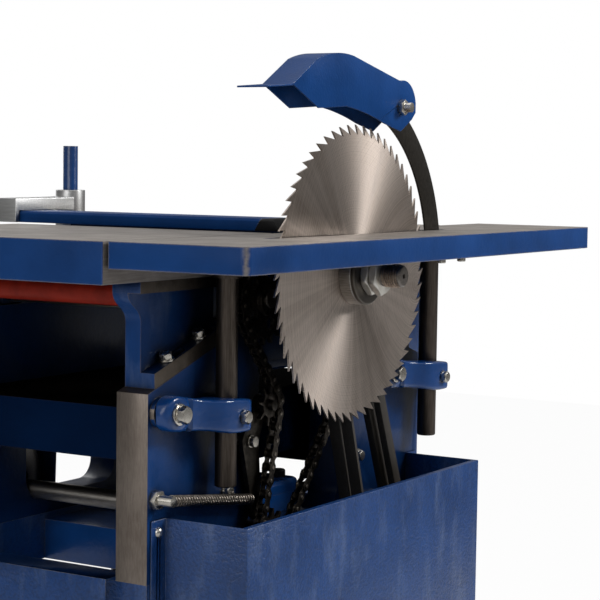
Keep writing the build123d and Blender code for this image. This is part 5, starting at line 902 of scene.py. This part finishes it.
# %% [markdown]
# ## Links of the chain
# The chain is packed as one node of separate links. Its slack side has to give when the tensioner
# swings, and a whole chain can't do that and keep its taut side still. So the links are told apart,
# as faces that share points, with inner and outer links parted at the plane where their plates meet.

# %% Sorting the links
LINK_PLANE = 4.5 * MM
LINK_PLAY = 0.05 * MM
POINT_DIGITS = 5
CHAIN_X = (CHAIN_LOW.x + CHAIN_HIGH.x) / 2


def link_faces(mesh):
    """Faces of each link, as lists of corner keys: outer or inner, then the corner's place."""
    parent, rows = {}, []

    def root(key):
        while parent[key] != key:
            key = parent[key]
        return key

    for face in mesh.polygons:
        off = face.center.x - CHAIN_X
        beyond = abs(off) - LINK_PLANE
        outer = beyond > LINK_PLAY or (beyond > -LINK_PLAY and face.normal.x * off < 0)
        keys = []
        for v in face.vertices:
            keys.append((outer,) + tuple(round(c, POINT_DIGITS) for c in mesh.vertices[v].co))
            parent.setdefault(keys[-1], keys[-1])
        for key in keys[1:]:
            parent[root(key)] = root(keys[0])
        rows.append(keys)
    links = {}
    for keys in rows:
        links.setdefault(root(keys[0]), []).append(keys)
    return list(links.values())


def run_mesh(name, links):
    """One mesh of some links, which share no points with each other."""
    points, faces = [], []
    for link in links:
        index = {}
        for keys in link:
            face = []
            for key in keys:
                if key not in index:
                    index[key] = len(points)
                    points.append(key[1:])
                if index[key] not in face:
                    face.append(index[key])
            if len(face) > 2:
                faces.append(face)
    mesh = bpy.data.meshes.new(name)
    mesh.from_pydata(points, [], faces)
    return mesh


chain_links = link_faces(NODES["feed_chain"].data)
print(len(chain_links), "links in the chain")

# %% [markdown]
# ## Chain runs and spring
# The idler presses the slack side of the chain, and the spring pulls the lever's tail, so both give a
# little when the lever swings. A link sorts by its middle into the taut side or one of the two slack
# runs, above and below the idler. The taut side is fixed to the frame, while the slack runs and the
# spring are kept as plain meshes where they stand.

# %% Chain and spring
def middle_z(name):
    low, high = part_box(name)
    return low.lerp(high, 0.5).z


IDLER_Z = middle_z("idler_sprocket")
# Links in front of this Y, between these heights, are slack
SLACK_Y = -58 * MM
SLACK_LOW = middle_z("drive_sprocket") + 25 * MM
SLACK_HIGH = middle_z("infeed_sprocket") - 19 * MM


def run_of(link):
    """The run that a link belongs to, by its middle."""
    corners = [key for keys in link for key in keys]
    y, z = (sum(c[i] for c in corners) / len(corners) for i in (2, 3))
    if y > SLACK_Y or not SLACK_LOW < z < SLACK_HIGH:
        return "chain_taut_side"
    return "chain_above_idler" if z > IDLER_Z else "chain_below_idler"


runs = {}
for link in chain_links:
    runs.setdefault(run_of(link), []).append(link)
for name, links in runs.items():
    run = new_piece(name, run_mesh(name, links), CHAIN_STEEL, 0.2)
    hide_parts("feed_chain")
    if name == "chain_taut_side":
        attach(run, "frame")
    elif name == "chain_above_idler":
        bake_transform(run)
    else:
        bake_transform(run)
spring = new_piece("lever_spring", NODES["tensioner_spring"].data.copy(), SPRING_STEEL, 0)
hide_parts("tensioner_spring")
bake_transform(spring)
print("runs:", {name: len(links) for name, links in runs.items()})

# %% [markdown]
# ## Room and floor
# The machine stands as in a catalogue, on a pale floor in a white room. A big white backdrop would
# light the machine too, so the world and the floor use the Light Path node: the camera sees them as
# white, while they shine on the machine at a plain level and the floor keeps its soft shadow.

# %% Room and floor
FLOOR_SIZE = 9.0
FLOOR_GREY = 0.8
FLOOR_GLOW = 0.965
ROOM_LIGHT = 0.2
HORIZON, HORIZON_LIGHT = 0.05, 0.14
CEILING, CEILING_LIGHT = 0.7, 0.6


def white_room():
    """White to the camera. Glossy rays meet a room that is pale overhead and dim along the horizon."""
    world = bpy.data.worlds.new("white_room")
    bpy.context.scene.world = world
    world.use_nodes = True
    tree = world.node_tree
    tree.nodes.clear()
    way = add(tree, "ShaderNodeTexCoord").outputs["Generated"]
    up = add(tree, "ShaderNodeSeparateXYZ", {0: way}).outputs["Z"]
    sky = add(tree, "ShaderNodeMapRange", {"Value": up, "From Min": HORIZON, "From Max": CEILING,
                                           "To Min": HORIZON_LIGHT, "To Max": CEILING_LIGHT})
    path = add(tree, "ShaderNodeLightPath").outputs
    room = add(tree, "ShaderNodeMix", {"Factor": path["Is Glossy Ray"], NUMBER_A: ROOM_LIGHT,
                                       NUMBER_B: sky})
    seen = add(tree, "ShaderNodeMath", {0: path["Is Camera Ray"], 1: path["Is Transmission Ray"]},
               operation="MAXIMUM")
    lit = add(tree, "ShaderNodeMix", {"Factor": seen, NUMBER_A: room, NUMBER_B: 1.0})
    back = add(tree, "ShaderNodeBackground", {"Color": grey(1.0), "Strength": lit})
    add(tree, "ShaderNodeOutputWorld", {"Surface": back})


def floor_paint():
    """Pale paint that takes the shadow, under a glow that only the camera sees."""
    material = bpy.data.materials.new("pale_floor")
    material.use_nodes = True
    tree = material.node_tree
    tree.nodes.clear()
    paint = add(tree, "ShaderNodeBsdfDiffuse", {"Color": grey(FLOOR_GREY)})
    glow = add(tree, "ShaderNodeEmission", {"Strength": 1.0})
    path = add(tree, "ShaderNodeLightPath")
    share = add(tree, "ShaderNodeMath", {0: path.outputs["Is Camera Ray"], 1: FLOOR_GLOW},
                operation="MULTIPLY")
    both = add(tree, "ShaderNodeMixShader", {0: share, 1: paint, 2: glow})
    add(tree, "ShaderNodeOutputMaterial", {"Surface": both})
    return material


white_room()
half = FLOOR_SIZE / 2
floor_mesh = bpy.data.meshes.new("floor")
floor_mesh.from_pydata([(-half, -half, 0), (half, -half, 0), (half, half, 0), (-half, half, 0)], [],
                       [(0, 1, 2, 3)])
floor = new_piece("floor", floor_mesh, floor_paint())
print("room and a floor of", FLOOR_SIZE, "m")

# %% [markdown]
# ## Lamps
# The soft light comes from a lamp to the right and a little behind, which models the castings. Point
# lamps would give hard shadows and small glints on the metal, so all are broad area lamps, with weak
# ones above, in front and at the far side to open the shadows.

# %% Lamps
AIM = (0.2, 0.0, 0.7)


def soft_lamp(name, place, size, watts):
    """A broad lamp that faces the machine; place and size are in metres."""
    lamp = bpy.data.lights.new(name, "AREA")
    lamp.shape = "RECTANGLE"
    lamp.size, lamp.size_y = size
    lamp.energy = watts
    obj = bpy.data.objects.new(name, lamp)
    bpy.context.scene.collection.objects.link(obj)
    obj.location = place
    obj.rotation_euler = (Vector(AIM) - Vector(place)).to_track_quat("-Z", "Y").to_euler()


soft_lamp("key_lamp", place=(2.45, 1.6, 2.25), size=(0.8, 0.8), watts=60)
soft_lamp("fill_lamp", place=(0.2, -3.0, 1.5), size=(2.0, 1.6), watts=20)
soft_lamp("top_lamp", place=(0.2, 0.3, 3.2), size=(2.4, 2.4), watts=17)
soft_lamp("far_lamp", place=(-2.6, 1.2, 1.9), size=(1.6, 1.6), watts=22)
print("four lamps aimed at", AIM)

# %% [markdown]
# ## Camera
# The camera stands low at the operator's right with a long lens, so upright lines stay nearly
# upright. It could be aimed with a constraint, but its place and angles were fitted to the photograph
# and are set directly. The lens follows from the focal length in pixels and the picture's width.

# %% Camera
PHOTO_WIDTH_PX = 600
FOCAL_PX = 1825.0
SENSOR_MM = 36.0
VIEW_END = 50.0
CAMERA_PLACE = (1.3548, -1.8907, 0.8914)
AZIMUTH, PITCH, ROLL = radians(31.36), radians(4.30), radians(0.80)


def camera_matrix():
    """The camera's place and turn: looking along AZIMUTH, down by PITCH and tilted by ROLL."""
    ahead = Vector((-sin(AZIMUTH) * cos(PITCH), cos(AZIMUTH) * cos(PITCH), -sin(PITCH)))
    level = Vector((cos(AZIMUTH), sin(AZIMUTH), 0))
    upright = level.cross(ahead)
    right = cos(ROLL) * level + sin(ROLL) * upright
    up = -sin(ROLL) * level + cos(ROLL) * upright
    turn = Matrix((right, up, -ahead)).transposed()
    return Matrix.Translation(CAMERA_PLACE) @ turn.to_4x4()


camera = bpy.data.objects.new("photo_camera", bpy.data.cameras.new("photo_camera"))
bpy.context.scene.collection.objects.link(camera)
camera.data.sensor_width = SENSOR_MM
camera.data.lens = FOCAL_PX / PHOTO_WIDTH_PX * SENSOR_MM
camera.data.clip_end = VIEW_END
camera.matrix_world = camera_matrix()
bpy.context.scene.camera = camera
bpy.context.scene.view_settings.view_transform = "Standard"
print("camera lens", round(camera.data.lens, 1), "mm")

# %% [markdown]
# ## Finish
# The view layer is updated once more.

# %% Finish
bpy.context.view_layer.update()
